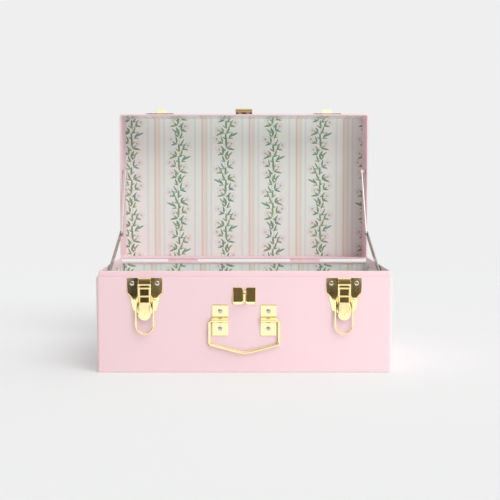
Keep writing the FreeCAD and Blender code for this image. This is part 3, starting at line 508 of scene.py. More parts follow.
PETAL_OUTLINE = ((1.2, -0.5), (3.0, -1.75), (4.9, -1.5), (5.6, 0.1), (4.9, 1.6), (3.0, 1.7), (1.2, 0.5))
PETAL_MIDDLE = 3.4


def holds(outline, x, y):
    """Whether a point is inside a flat outline."""
    inside = False
    for (ax, ay), (bx, by) in pairs(outline):
        if (ay > y) != (by > y) and x < ax + (y - ay) / (by - ay) * (bx - ax):
            inside = not inside
    return inside


class Sheet:
    """A sheet of printed paper: flat inked shapes, bent to its place and given its thickness."""

    def __init__(self, outline, folds, seed):
        self.outline = outline  # anticlockwise
        self.folds = folds
        self.shapes = []
        self.random = random.Random(seed)

    def shape(self, outline, colour, spread=3):
        shift = self.random.uniform(-spread, spread)
        if is_clockwise(outline):
            outline = outline[::-1]
        self.shapes.append((outline, tuple(c + shift for c in colour)))

    def ribbon(self, path, width, colour):
        left, right = [], []
        for i, point in enumerate(path):
            before, after = path[max(i - 1, 0)], path[min(i + 1, len(path) - 1)]
            along = Vector((after[0] - before[0], after[1] - before[1])).normalized() * width / 2
            left.append((point[0] - along.y, point[1] + along.x))
            right.append((point[0] + along.y, point[1] - along.x))
        self.shape(left + right[::-1], colour, 0)

    def leaf(self, base, tip, width, bow, blue, steps=5):
        """Two halves in two greens, meeting on the midrib."""
        base, tip = Vector(base), Vector(tip)
        tip += (tip - base) * LEAF_LONGER
        width *= LEAF_SLIMMER
        across = Vector((base.y - tip.y, tip.x - base.x)).normalized()
        rib, sides = [], ([], [])
        for k in range(steps + 1):
            share = k / steps
            middle = base.lerp(tip, share) + across * bow * 4 * share * (1 - share)
            half = width / 2 * math.sin(math.pi * share ** 0.8) ** 0.9
            rib.append(tuple(middle))
            for side, sign in zip(sides, (1, -1)):
                side.append(tuple(middle + across * half * sign))
        green = self.random.choice(BLUE_GREENS if blue else GREENS)
        light = tuple(c + 12 for c in green)
        for side, colour in zip(sides, (green, light)):
            self.shape(rib + side[-2:0:-1], colour, 7)

    def flower(self, centre):
        turn = self.random.uniform(0, 72)
        size = self.random.uniform(0.9, 1.1)
        for petal in range(5):
            a = math.radians(turn + 72 * petal + self.random.uniform(-7, 7))
            out, aside = Vector((math.cos(a), math.sin(a))), Vector((-math.sin(a), math.cos(a)))
            for grow, colour in ((1.0, PETAL_EDGE), (0.84, PETAL)):
                outline = []
                for x, y in PETAL_OUTLINE:
                    x, y = PETAL_MIDDLE + (x - PETAL_MIDDLE) * grow, y * grow
                    outline.append(tuple(Vector(centre) + (out * x + aside * y) * size))
                self.shape(outline, colour, 1)
        heart = [(centre[0] + x, centre[1] + y) for x, y in arc((0, 0), 1.45 * size, 0, 315, 7)]
        self.shape(heart, self.random.choice(HEARTS), 5)

    def spray(self, x, top, mirror):
        """One spray with its top at a height; each leaf has a smaller one beside it."""
        sign = -1 if mirror else 1

        def at(point):
            return (x + sign * point[0], top + point[1])

        for path in STALKS:
            self.ribbon([at(p) for p in path], STALK_WIDTH, STALK)
        for centre in FLOWERS:
            self.flower(at(centre))
        for number, (base, tip, width, bow, blue) in enumerate(LEAVES):
            self.leaf(at(base), at(tip), width, sign * bow, blue)
            reach = Vector(tip) - Vector(base)
            turn = SIDE_LEAF_TURN if number % 2 else -SIDE_LEAF_TURN
            reach.rotate(Matrix.Rotation(math.radians(turn), 2))
            start = Vector(base) - reach * 0.12
            end = start + reach * SIDE_LEAF_LENGTH
            self.leaf(at(start), at(end), width * SIDE_LEAF_WIDTH, 0.4, blue)

    def column(self, x, low, high, reference, index):
        """A vine from low to high; every other one is half a spray higher, and sprays alternate."""
        top = reference + (SPRAY_TALL / 2 if index % 2 else 0)
        first = math.floor((top - high) / SPRAY_TALL)
        last = math.ceil((top - low) / SPRAY_TALL)
        for k in range(first, last + 1):
            self.spray(x, top - SPRAY_TALL * k, (k + index) % 2 == 1)

    def stripes(self, x, low, high, index):
        """A pair of fine lines with a paler band between, and a faint line either side."""
        warm, pale = WARM_LINES[index % 2]
        lines = ((-12.5, -9.5, FAINT_LINES[0]), (12.0, 15.0, FAINT_LINES[1]), (-1.2, 8.0, PALE_BAND),
                 (-1.2, 1.2, warm), (5.9, 7.3, pale))
        for left, right, colour in lines:
            left, right = x + left, x + right
            self.shape([(left, low), (right, low), (right, high), (left, high)], colour, 0)

    def top_shape(self, cell, own, corners):
        """The last shape that really holds the middle of a cell; 0 is the bare sheet."""
        x, y = sum((corners[i] for i in cell), Vector((0, 0))) / len(cell)
        for number in sorted(own, reverse=True):
            if number and holds(self.shapes[number - 1][0], x, y):
                return number
        return 0

    def mesh(self, bend, thick=0.5):
        """Cuts the shapes into the sheet and bends it: points, faces and a colour for each face."""
        points, faces, edges = list(self.outline), [tuple(range(len(self.outline)))], []
        for outline, _ in self.shapes:
            first = len(points)
            points += outline
            faces.append(tuple(range(first, len(points))))
        for start, end in self.folds:
            edges.append((len(points), len(points) + 1))
            points += [start, end]
        points = [Vector(p) for p in points]
        corners, _, cells, _, _, sources = delaunay_2d_cdt(points, edges, faces, 0, 1e-4)
        kept = [(cell, self.top_shape(cell, own, corners))
                for cell, own in zip(cells, sources) if 0 in own]
        colours = [GROUND if top == 0 else self.shapes[top - 1][1] for _, top in kept]
        used = sorted({i for cell, _ in kept for i in cell})
        short = {old: new for new, old in enumerate(used)}
        flat = [corners[i] for i in used]
        front = [tuple(short[i] for i in cell) for cell, _ in kept]
        sides = dict.fromkeys(side for cell in front for side in pairs(cell))
        rim = {a: b for a, b in sides if (b, a) not in sides}
        loop = [next(iter(rim))]
        while rim[loop[-1]] != loop[0]:
            loop.append(rim[loop[-1]])
        rear_edges = []
        for start, end in self.folds:
            middle = (Vector(start) + Vector(end)) / 2
            level = 0 if abs(start[0] - end[0]) < 1e-6 else 1
            on_fold = [k for k, i in enumerate(loop) if abs(flat[i][level] - middle[level]) < 1e-3]
            on_fold.sort(key=lambda k: flat[loop[k]][1 - level])
            rear_edges.append((on_fold[0], on_fold[-1]))
        ends, _, rear_cells, _, _, owners = delaunay_2d_cdt(
            [flat[i] for i in loop], rear_edges, [tuple(range(len(loop)))], 0, 1e-5)
        rear = [cell for cell, own in zip(rear_cells, owners) if own]
        total = len(flat)
        solid = [bend(p[0], p[1], 0) for p in flat] + [bend(p[0], p[1], thick) for p in ends]
        wrap = [(a, b, total + (k + 1) % len(loop), total + k) for k, (a, b) in enumerate(pairs(loop))]
        all_faces = front + [tuple(total + i for i in cell[::-1]) for cell in rear] + wrap
        return solid, all_faces, colours + [GROUND] * (len(all_faces) - len(front))

    def piece(self, name, bend, body, nodes, place=STAY):
        points, faces, colours = self.mesh(bend)
        mesh = mesh_of(name, points, faces, place)
        ink = mesh.color_attributes.new("ink", "FLOAT_COLOR", "CORNER")
        values = []
        for face, colour in zip(mesh.polygons, colours):
            values += list(srgb(*colour)) * face.loop_total
        ink.data.foreach_set("color", values)
        face_outwards(mesh)
        as_piece(mesh, PAPER, body, nodes)


VINE_STEP, FIRST_VINE = 71.2, -169.7
PAST_EDGE = 5  # how far a stripe or a fold runs past the sheet's edge before it is cut


def make_lid_paper():
    """One sheet over the lid's top that turns down its front wall."""
    corner_y, corner_z, bend_radius = -103.3, 170.5, 2
    side, low, high = 175.7, -206.6, 44.3
    bend = 2.7
    outline = [(side, high), (side, 0.5)]
    outline += arc((side, -bend - 0.1), bend, 80, 0, 4)
    outline += arc((side, low + bend + 0.1), bend, 0, -90, 4)
    outline += [(-x, t) for x, t in reversed(outline)]
    outline.reverse()

    def folded(x, t, depth):
        if t >= bend_radius:
            return (x, corner_y - depth, corner_z - t)
        if t <= -bend_radius:
            return (x, corner_y - t, corner_z + depth)
        turn = (t + bend_radius) / (2 * bend_radius) * math.pi / 2
        reach = bend_radius + depth
        return (x, corner_y + bend_radius - reach * math.sin(turn),
                corner_z - bend_radius + reach * math.cos(turn))

    folds = [((-HALF_WIDTH, t), (HALF_WIDTH, t)) for t in (-2, -1, 0.1, 1, 2)]
    sheet = Sheet(outline, folds, 11)
    for k in range(6):
        middle = FIRST_VINE + VINE_STEP * (k + 0.5)
        sheet.stripes(middle, low - PAST_EDGE, high + PAST_EDGE, k)
    for k in range(6):
        sheet.column(FIRST_VINE + VINE_STEP * k, low, high, 0, k)
    sheet.piece("lid_paper", folded, "lid", ["lid_lining_top", "lid_lining_front"], OPEN)


def make_base_paper():
    """A sheet on the floor and one band round the walls, with its seam in a back corner."""
    far_x, far_y, bend, foot, head = 178.3, 103.3, 2.5, 1.7, 114
    long_run, short_run = 2 * (far_x - bend), 2 * (far_y - bend)
    quarter = math.pi / 2 * bend
    # Each wall: where it starts along the band, its length, the corner before it, and its direction.
    walls = []
    start = -long_run / 2
    for length, corner, along in (
        (long_run, (-1, 1), (1, 0)), (short_run, (1, 1), (0, -1)),
        (long_run, (1, -1), (-1, 0)), (short_run, (-1, -1), (0, 1)),
    ):
        walls.append((start, length, corner, along))
        start += length + quarter
    total = start - quarter

    def wrapped(u, t, depth):
        for first, _, (right, back), along in reversed(walls):
            if u >= first - quarter - 1e-6:
                break
        out = (-along[1], along[0])
        centre = (right * (far_x - bend), back * (far_y - bend))
        run, turn = max(u - first, 0), max(first - u, 0) / bend
        across, ahead = (bend + depth) * math.cos(turn), run - (bend + depth) * math.sin(turn)
        return tuple(c + o * across + a * ahead for c, o, a in zip(centre, out, along)) + (t,)

    left = walls[0][0]
    outline = [(left, foot), (total, foot), (total, head), (left, head)]
    folds = []
    for first, *_ in walls[1:]:
        for k in range(5):
            u = first - quarter * k / 4
            folds.append(((u, foot - PAST_EDGE), (u, head + PAST_EDGE)))
    band = Sheet(outline, folds, 23)
    for k in range(17):
        middle = FIRST_VINE + VINE_STEP * (k - 0.5)
        band.stripes(middle, foot - PAST_EDGE, head + PAST_EDGE, k + 1)
        band.column(FIRST_VINE + VINE_STEP * k, foot, head, 156, k)
    names = [f"base_lining_{wall}" for wall in ("front", "back", "left", "right")]
    band.piece("wall_paper", wrapped, "base", names)

    side, deep, rounding = 178.5, 103.5, bend + 0.2
    corners = ((1, -1, -90), (1, 1, 0), (-1, 1, 90), (-1, -1, 180))
    outline = []
    for right, back, turn in corners:
        centre = (right * (side - rounding), back * (deep - rounding))
        outline += arc(centre, rounding, turn, turn + 90, 4)
    floor = Sheet(outline, [], 37)
    for k in range(6):
        middle = FIRST_VINE + VINE_STEP * (k + 0.5)
        floor.stripes(middle, -deep - PAST_EDGE, deep + PAST_EDGE, k)
        floor.column(FIRST_VINE + VINE_STEP * k, -deep, deep, deep, k)
    floor.piece("floor_paper", lambda x, t, depth: (x, t, foot - depth), "base", ["base_lining_floor"])


make_trays()
make_lip()
make_lid_paper()
make_base_paper()


# ---- brass fittings ----

LATCH_AT, KEEPER_AT, HINGE_AT, STRAP_AT = 120.6, 121.5, 89, 29.3
LEVER_PIN_OUT, LEVER_PIN_Z = 4.4, 104
HANDLE_OUT, HANDLE_Z = 2.6, 64.6
SIDES = {"left": -1, "right": 1}
CLEAR = 0.03  # fittings stand this far off the painted wall


def brass(solid, name, body, node, crease=30, edges=None, place=STAY, material=BRASS):
    """A brass piece; edges says how its sharp edges are rounded, if they are."""
    item = solid.piece(name, material, body, "brass", node, place, crease)
    if edges:
        finish_edges(item, *edges)


def pressed(solid, points, outline, creases, thick, centre=0, mirror=1):
    """A pressed sheet: points are (x, out, z); outline and creases are lists of their numbers."""
    flat = [Vector((x, z)) for x, _, z in points]
    if is_clockwise([flat[i] for i in outline]):
        outline = outline[::-1]
    edges = [pair for line in creases for pair in zip(line, line[1:])]
    _, _, cells, _, _, owners = delaunay_2d_cdt(flat, edges, [tuple(outline)], 0, 1e-5)
    cells = [tuple(cell) for cell, own in zip(cells, owners) if own]
    count = len(points)
    both = points + [(x, max(out - thick, CLEAR), z) for x, out, z in points]
    faces = cells + [tuple(count + i for i in cell[::-1]) for cell in cells]
    faces += [(a, b, count + b, count + a) for a, b in pairs(outline)]
    return solid.add([(centre + mirror * x, FRONT - out, z) for x, out, z in both], faces)


def sampled(outline, centre, angles):
    """Where rays from a centre, at the given angles, leave a closed outline."""
    found = []
    for angle in angles:
        dx, dy = math.cos(angle), math.sin(angle)
        best = 0
        for (ax, ay), (bx, by) in pairs(outline):
            ex, ey = bx - ax, by - ay
            cross = dx * ey - dy * ex
            if abs(cross) < 1e-9:
                continue
            reach = ((ax - centre[0]) * ey - (ay - centre[1]) * ex) / cross
            share = ((ax - centre[0]) * dy - (ay - centre[1]) * dx) / cross
            if reach > 0 and -1e-6 <= share <= 1 + 1e-6:
                best = max(best, reach)
        found.append((centre[0] + dx * best, centre[1] + dy * best))
    return found


def holed(solid, outside, inside, centre, axis, low, high):
    """A flat plate with one hole; both outlines are seen from a centre inside the hole."""
    angles = round_angles(40)
    angles += [math.atan2(y - centre[1], x - centre[0]) % (2 * math.pi) for x, y in outside + inside]
    angles = sorted({round(angle, 5) for angle in angles})
    outer, inner = sampled(outside, centre, angles), sampled(inside, centre, angles)
    loops = ((outer, low), (outer, high), (inner, high), (inner, low))
    rows = [[on_axis(axis, a, b, depth) for a, b in loop] for loop, depth in loops]
    return solid.rows(rows, round_all=True)


def rounded_box(x_low, x_high, y_low, y_high, bend, steps=4):
    """A rounded rectangle outline, anticlockwise."""
    left, right, foot, head = x_low + bend, x_high - bend, y_low + bend, y_high - bend
    outline = []
    for x, y, turn in ((right, foot, -90), (right, head, 0), (left, head, 90), (left, foot, 180)):
        outline += arc((x, y), bend, turn, turn + 90, steps)
    return outline


def rivet_heads(name, node, places, body, outward=(0, -1, 0), place=STAY, painted=False):
    """Domed heads with a fine flat rim and a small dimple; places are (x, y, z)."""
    solid = Solid()
    radius, tall, rim = 2.9, 1.5, 0.22
    profile = [(-0.8, 1.5), (0.0, 1.5), (0.0, radius), (rim, radius)]
    for rise in map(math.radians, (12, 26, 40, 54, 66, 75)):
        profile.append((rim + (tall - rim) * math.sin(rise), radius * 0.97 * math.cos(rise) ** 0.8))
    profile += [(tall - 0.1, 0.62), (tall - 0.38, 0.4), (tall - 0.45, 0.0)]
    for spot in places:
        solid.turned(spot, outward, profile, 28)
    material, slot = (PAINT, "pink_paint") if painted else (STEEL, "steel")
    solid.piece(name, material, body, slot, node, place, crease=32)


def make_latch_plate(name, side):
    """A pressed shield: its upper face leans back and its flanks turn down to the wall."""
    centre = side * LATCH_AT
    top = [(-21.3, 0.45, 116.2), (-14, 0.7, 116.2), (-7.3, 0.75, 116.2)]
    ear = [(-7.3, 1.6, 109), (-7.3, 2.4, 102), (-7.3, 3.0, 97), (-7.3, 3.3, 93.6)]
    inner = [(-7.3, 2.3, 90), (-7.3, 1.6, 86), (-7.3, 1.2, 81), (-7.3, 1.0, 76.1)]
    foot = [(-10.3, 1.0, 75.8), (-13.2, 0.3, 75.7)]
    rim = [(-14.4, 0.3, 78.2), (-15.3, 0.3, 81.3), (-16.1, 0.3, 85), (-16.9, 0.3, 88.6),
           (-18.0, 0.3, 92.0), (-19.6, 0.3, 94.9), (-21.5, 0.4, 97.6)]
    edge = [(-21.5, 0.95, 107), (-21.5, 0.5, 115.9)]
    fold = [(-21.0, 1.5, 98.5), (-19.8, 1.85, 97.5), (-18.2, 2.3, 96.1), (-16.6, 2.65, 94.3),
            (-15.2, 2.95, 92.3), (-13.9, 3.2, 90.1), (-12.8, 3.35, 88.1), (-11.9, 3.45, 86.6)]
    rise = [(-10.2, 3.45, 89.7), (-8.6, 3.4, 92.2)]
    ridge = [(-11.5, 3.1, 84), (-11.0, 2.6, 81), (-10.6, 2.0, 78.3)]
    loop = top + ear + inner + foot + rim + edge
    points = loop + fold + rise + ridge
    first = len(loop)
    spots = {p: i for i, p in enumerate(points)}
    creases = [
        [spots[rim[-1]]] + [first + k for k in range(len(fold))],
        [spots[fold[-1]], spots[rise[0]], spots[rise[1]], spots[ear[-1]]],
        [spots[fold[-1]]] + [spots[p] for p in ridge] + [spots[foot[0]]],
        [spots[fold[0]], spots[edge[0]]],
    ]
    solid = Solid()
    for mirror in (1, -1):
        pressed(solid, points, list(range(len(loop))), creases, 0.9, centre, mirror)
    left, right, foot_z, head_z = centre - 7.2, centre + 7.2, 75.9, 115.6
    web = [(left, foot_z), (right, foot_z), (right, head_z), (left, head_z)]
    solid.prism(web, "y", FRONT - 0.85, FRONT - CLEAR)
    channel = [(CLEAR, 86), (2.2, 86), (0.9, 94), (2.9, 94.6), (0.95, 107.8), (0.95, 115.4),
               (CLEAR, 115.4)]
    solid.section(channel, centre - 5.3, centre + 5.3)
    cheek = [(0.4, 93.2), (3.6, 93.2), (5.3, 94.6), (6.3, 97.2), (6.4, 109.4), (5.6, 112.6),
             (4.4, 114.6), (0.4, 115.4)]
    for low, high in ((-7.8, -6.8), (6.8, 7.8)):
        solid.section(cheek, centre + low, centre + high)
    band = [(0.3, 116.2), (3.9, 116.2), (4.45, 115.9), (5.2, 114.0), (5.65, 111.5), (6.1, 109.1),
            (6.4, 108.6), (6.3, 107.8), (5.8, 107.4), (5.2, 107.8), (4.8, 110), (4.4, 112.8),
            (3.6, 114.6), (2.4, 115.1), (0.3, 115.2)]
    solid.section(band, centre - 7.8, centre + 7.8)
    brass(solid, f"latch_shield_{name}", "base", f"latch_plate_{name}", 22, (0.14, 2, 40))
    heads = [(centre + x, FRONT - 1.5, 109.8) for x in (-15.2, 15.2)]
    rivet_heads(f"latch_rivet_heads_{name}", f"latch_rivets_{name}", heads, "base", (0, -1, 0.1))
    profile = [(-0.25, 0.7), (0, 1.2), (15.6, 1.2), (15.85, 0.7)]
    pin = Solid().turned((centre - 7.8, FRONT - LEVER_PIN_OUT, LEVER_PIN_Z), (1, 0, 0), profile, 20)
    brass(pin, f"latch_axle_{name}", "base", f"latch_pin_{name}")


def make_latch_lever(name, side):
    """A folded channel on the pin, splayed lower down, with a rounded thumb tongue."""
    centre = side * LATCH_AT
    tongue_z, tongue_out = 72.9, 6.45
    left = [(-5.7, 5.8, 86.7), (-6.5, 5.0, 86.9), (-7.6, 4.6, 83.6), (-8.8, 4.4, 79.5),
            (-9.1, 4.4, 75.2), (-8.8, 4.7, 73.7), (-7.7, 5.9, 73.3)]
    tip = [(x, tongue_out - 0.35 * (tongue_z - z) / 8.4, z)
           for x, z in arc((0, tongue_z), 7.7, 187, 353, 14)]
    right = [(-x, out, z) for x, out, z in reversed(left)]
    loop = left + tip + right
    fold = [(-6.7, tongue_out, 74.2), (6.7, tongue_out, 74.2)]
    dimple = [(x, tongue_out, z) for x, z in arc((0, tongue_z), 0.95, 0, 315, 7)]
    points = loop + fold + dimple + [(0, 5.7, tongue_z)]
    n = len(loop)
    creases = [[0, n, len(left)], [len(loop) - 1, n + 1, len(left) + len(tip) - 1], [n, n + 1]]
    creases.append([n + 2 + k for k in range(8)] + [n + 2])
    solid = Solid()
    pressed(solid, points, list(range(n)), creases, 0.9, centre)
    cheek = [(2.2, 79), (5.2, 79), (5.2, 86.6), (6.1, 87.4), (6.1, 101.5)]
    cheek += arc((LEVER_PIN_OUT, LEVER_PIN_Z), 1.9, 10, 170, 7) + [(2.3, 101.5)]
    for low, high in ((-6.5, -5.5), (5.5, 6.5)):
        solid.section(cheek, centre + low, centre + high)
    body = f"latch_lever_{name}"
    brass(solid, f"latch_thumb_{name}", body, body, 20, (0.12, 2, 40))


def make_latch_bail(name, side):
    """A loop of wire whose ends meet inside the lever."""
    centre = side * LATCH_AT
    high, low, half = 94.2, 48.8, 10.55
    right = [(half, low), (half, high - 4.4), (7.6, high), (0.2, high)]
    profile = [(-x, z) for x, z in reversed(right)] + right
    path = rounded_path([(centre + x, FRONT - 4.2, z) for x, z in profile], (1.5, 3, 10, 10, 3, 1.5))
    body = f"latch_bail_{name}"
    brass(Solid().tube(path, 1.0, 16), f"latch_wire_{name}", body, body, 50)


def make_keeper(name, side):
    """A plate on the lid with a turned-up hook for the wire loop."""
    centre = side * KEEPER_AT
    solid = Solid()
    plate = rounded_box(centre - 20.5, centre + 20.5, 121, 147, 1.6)
    solid.prism(plate, "y", FRONT - 1.5, FRONT - CLEAR)
    hook = [(0.8, 134.8), (7.7, 137.8), (8.2, 138.2), (8.4, 138.8), (8.4, 142.8), (8.1, 143.4),
            (7.5, 143.4), (7.2, 142.8), (7.2, 139.4), (6.6, 138.5), (0.8, 138.5)]
    solid.section(hook, centre - 6.5, centre + 6.5)
    brass(solid, f"latch_catch_{name}", "lid", f"latch_keeper_{name}", 25, (0.18,), OPEN)
    heads = [(centre + x, FRONT - 1.5, 132) for x in (-14.5, 14.5)]
    rivet_heads(f"catch_rivet_heads_{name}", f"keeper_rivets_{name}", heads, "lid", place=OPEN)


def make_staple():
    """Two pillowed cheeks that lean back, with a bored eye plate between them."""
    solid = Solid()
    top = [(-14.2, 0.5, 104.2), (-13.7, 0.9, 104.7), (-3.4, 0.9, 104.7), (-1.5, 0.9, 101.6)]
    inner = [(-1.5, 2.2, 88.2), (-1.6, 2.0, 86.2), (-3.0, 0.7, 83.7)]
    foot = [(-13.7, 0.7, 83.7), (-14.2, 0.6, 84.3)]
    edge = [(-14.2, 2.0, 87.6)]
    loop = top + inner + foot + edge
    face = [(-13.4, 1.2, 103.9), (-3.8, 1.25, 103.8), (-2.3, 1.5, 101.0), (-2.3, 3.1, 88.4),
            (-3.4, 3.25, 87.1), (-13.2, 3.25, 87.1)]
    points = loop + face
    n = len(loop)
    creases = [[n, n + 1, n + 2, n + 3, n + 4, n + 5, n]]
    for mirror in (1, -1):
        pressed(solid, points, list(range(n)), creases, 3.2, 0, mirror)
    middle = (FRONT - 8.4, 94.55)
    eye = rounded_box(FRONT - 13, FRONT - 0.2, 87.2, 101.9, 3.6, 6)
    holed(solid, eye, arc(middle, 3, 0, 345, 23), middle, "x", -1.25, 1.25)
    brass(solid, "staple_with_eye", "base", "hasp_staple", 22, (0.22, 3, 36))


def make_handle_strap(name, side):
    """A strap folded over the handle's wire: two flat leaves with a half-round bulge between."""
    centre = side * STRAP_AT
    foot, head, back_out = 45.7, 83.5, 0.02
    back = [(back_out, foot), (back_out, 62.2)]
    back += arc((HANDLE_OUT, HANDLE_Z), 1.78, -136, 136, 12)
    back += [(back_out, 67.0), (back_out, head)]
    front = [(0.6, head), (1.05, 83.2), (1.25, 82.6), (1.3, 69.2), (1.7, 68.0), (3.6, 66.9),
             (4.9, 66.1), (5.4, 65.5), (5.5, 65.0), (5.2, 64.2), (4.2, 62.8), (2.7, 61.6),
             (1.6, 60.9), (1.3, 60.1), (1.25, 46.5), (1.05, 45.9), (0.6, foot)]
    solid = Solid().section(back + front, centre - 9.6, centre + 9.6)
    brass(solid, f"handle_mount_{name}", "base", f"handle_strap_{name}", 28, (0.25, 3, 50))
    heads = [(centre, FRONT - 1.25, z) for z in (75.8, 54.2)]
    rivet_heads(f"handle_rivet_heads_{name}", f"handle_rivets_{name}", heads, "base")


def make_handle():
    """Round wire with short trunnions, straight arms and a shallow pointed grip."""
    arm, elbow_z, grip_z = 42.3, 35.2, 23.9
    right = [(arm, elbow_z), (arm, HANDLE_Z), (20.4, HANDLE_Z)]
    profile = [(-x, z) for x, z in reversed(right)] + [(0, grip_z)] + right
    path = [(x, FRONT - HANDLE_OUT, z) for x, z in profile]
    wire = Solid().tube(rounded_path(path, (3.2, 4, 40, 4, 3.2), 10), 1.65, 20)
    brass(wire, "drop_handle", "carry_handle", "carry_handle", 50)


def barrel(solid, x_low, x_high, y, z, radius, bevel=0.25):
    """A rolled knuckle along X, with eased ends."""
    profile = [(x_low, radius - bevel), (x_low + bevel, radius),
               (x_high - bevel, radius), (x_high, radius - bevel)]
    return solid.turned((0, y, z), (1, 0, 0), profile, 28)


def make_hasp():
    """A fixed leaf with two outer knuckles, and a slotted flap that hangs from the middle one."""
    axis_y, axis_z, knuckle = FRONT - 5, 120.3, 2.9
    leaf = Solid().prism(rounded_box(-12, 12, axis_z, 147, 1.4), "y", FRONT - 1.4, FRONT - CLEAR)
    arm = [(0.5, 121.8), (4.8, 121.8), (4.8, 123.1), (0.5, 123.1)]
    for low, high in ((-12, -7.8), (7.8, 12)):
        barrel(leaf, low, high, axis_y, axis_z, knuckle)
        leaf.section(arm, low + 0.1, high - 0.1)
    # Leaf and flap take the darker copy of the brass, which is painted shade.
    brass(leaf, "hasp_fixed_leaf", "lid", "hasp_leaf", 28, (0.16,), OPEN, SHADED_BRASS)
    flap = Solid()
    barrel(flap, -7.6, 7.6, axis_y, axis_z, knuckle)
    flap.section([(5, 121), (6.4, 121), (6.4, 124.6), (5, 124.6)], -7.4, 7.4)
    outside = rounded_box(-11, 11, 124, 160, 4.5, 5)
    window = rounded_box(-3.6, 3.6, 137.4, 154.6, 3.4, 5)
    holed(flap, outside, window, (0, 146), "y", FRONT - 6.4, FRONT - 5.0)
    brass(flap, "hasp_slotted_flap", "hasp_flap", "hasp_flap", 28, (0.2,), OPEN, SHADED_BRASS)
    profile = [(-12.3, 0.9), (-12, 1.4), (12, 1.4), (12.3, 0.9)]
    pin = Solid().turned((0, axis_y, axis_z), (1, 0, 0), profile, 20)
    brass(pin, "hasp_axle", "lid", "hasp_pin", place=OPEN)
    heads = [(x, FRONT - 1.4, 137) for x in (-7, 7)]
    rivet_heads("hasp_rivet_heads", "hasp_rivets", heads, "lid", place=OPEN)


HINGE_FACE = 106.2  # the outer face of the hinge leaves


def make_hinge(name, side):
    """A butt hinge on the back: outer knuckles on the base leaf, the middle one on the lid leaf."""
    centre, half, gap = side * HINGE_AT, 21.5, 0.1
    third = half / 3
    spans = {"base": ((-half, -third - gap), (third + gap, half)), "lid": ((gap - third, third - gap),)}
    for part, place, up in (("base", STAY, -1), ("lid", OPEN, 1)):
        low, high = sorted((HINGE_Z + up * 1.4, HINGE_Z + up * 24))
        plate = rounded_box(centre - half, centre + half, low, high, 1.3)
        solid = Solid().prism(plate, "y", HALF_DEPTH + CLEAR, HINGE_FACE)
        root = [(y, HINGE_Z + up * rise)
                for y, rise in ((105.2, 0.6), (107.2, 0.6), (107.2, 2.2), (105.2, 2.6))]
        for left, right in spans[part]:
            barrel(solid, centre + left, centre + right, HINGE_Y, HINGE_Z, 2.5, 0.2)
            solid.prism(root, "x", centre + left + gap, centre + right - gap)
        node = f"hinge_{part}_leaf_{name}"
        item = solid.piece(f"hinge_{part}_plate_{name}", PAINT, part, "pink_paint", node, place, 28)
        finish_edges(item, 0.16)
    profile = [(-half - 0.3, 0.8), (-half, 1.25), (half, 1.25), (half + 0.3, 0.8)]
    pin = Solid().turned((centre, HINGE_Y, HINGE_Z), (1, 0, 0), profile, 18)
    pin.piece(f"hinge_axle_{name}", STEEL, "base", "steel", f"hinge_pin_{name}")


def make_hinge_rivets():
    for part, up, place in (("base", -1, STAY), ("lid", 1, OPEN)):
        heads = [(side * HINGE_AT + x, HINGE_FACE, HINGE_Z + up * 15)
                 for side in (-1, 1) for x in (-13, 13)]
        rivet_heads(f"hinge_rivet_heads_{part}", f"hinge_rivets_{part}", heads, part,
                    (0, 1, 0), place, painted=True)


# ---- the jointed lid stays ----

BASE_PIVOT, ELBOW = Vector((0, -65.4, 103.3)), Vector((0, 73.91, 158.912))
LID_PIVOT_CLOSED = Vector((0, -23, 132.1))
LID_PIVOT = OPEN @ LID_PIVOT_CLOSED


def make_link(name, node, body, side, depths, start, end, material):
    """A flat steel bar with round ends and a shallow pressed rib along its middle."""
    along = (end - start).normalized()
    across = Vector((0, -along.z, along.y))
    length = (end - start).length
    low, high = depths
    easing, rib_start = 0.25, 12

    def slot_outline(from_end, radius, steps):
        return (arc((from_end, 0), radius, 90, 270, steps)
                + arc((length - from_end, 0), radius, -90, 90, steps))

    def at(a, b, depth):
        spot = start + along * a + across * b
        return (side * (HALF_WIDTH - depth), spot.y, spot.z)

    outer, eased = slot_outline(0, 4.5, 10), slot_outline(0, 4.5 - easing, 10)
    rib, raised = slot_outline(rib_start, 1.5, 6), slot_outline(rib_start, 0.8, 6)
    bar = [(eased, low), (outer, low + easing), (outer, high - easing), (eased, high)]
    solid = Solid()
    for rows in (bar, [(rib, high - 0.1), (raised, high + 0.22)]):
        solid.rows([[at(a, b, depth) for a, b in row] for row, depth in rows])
    even_shading(solid.piece(name, material, body, "stay_steel", node, crease=28))


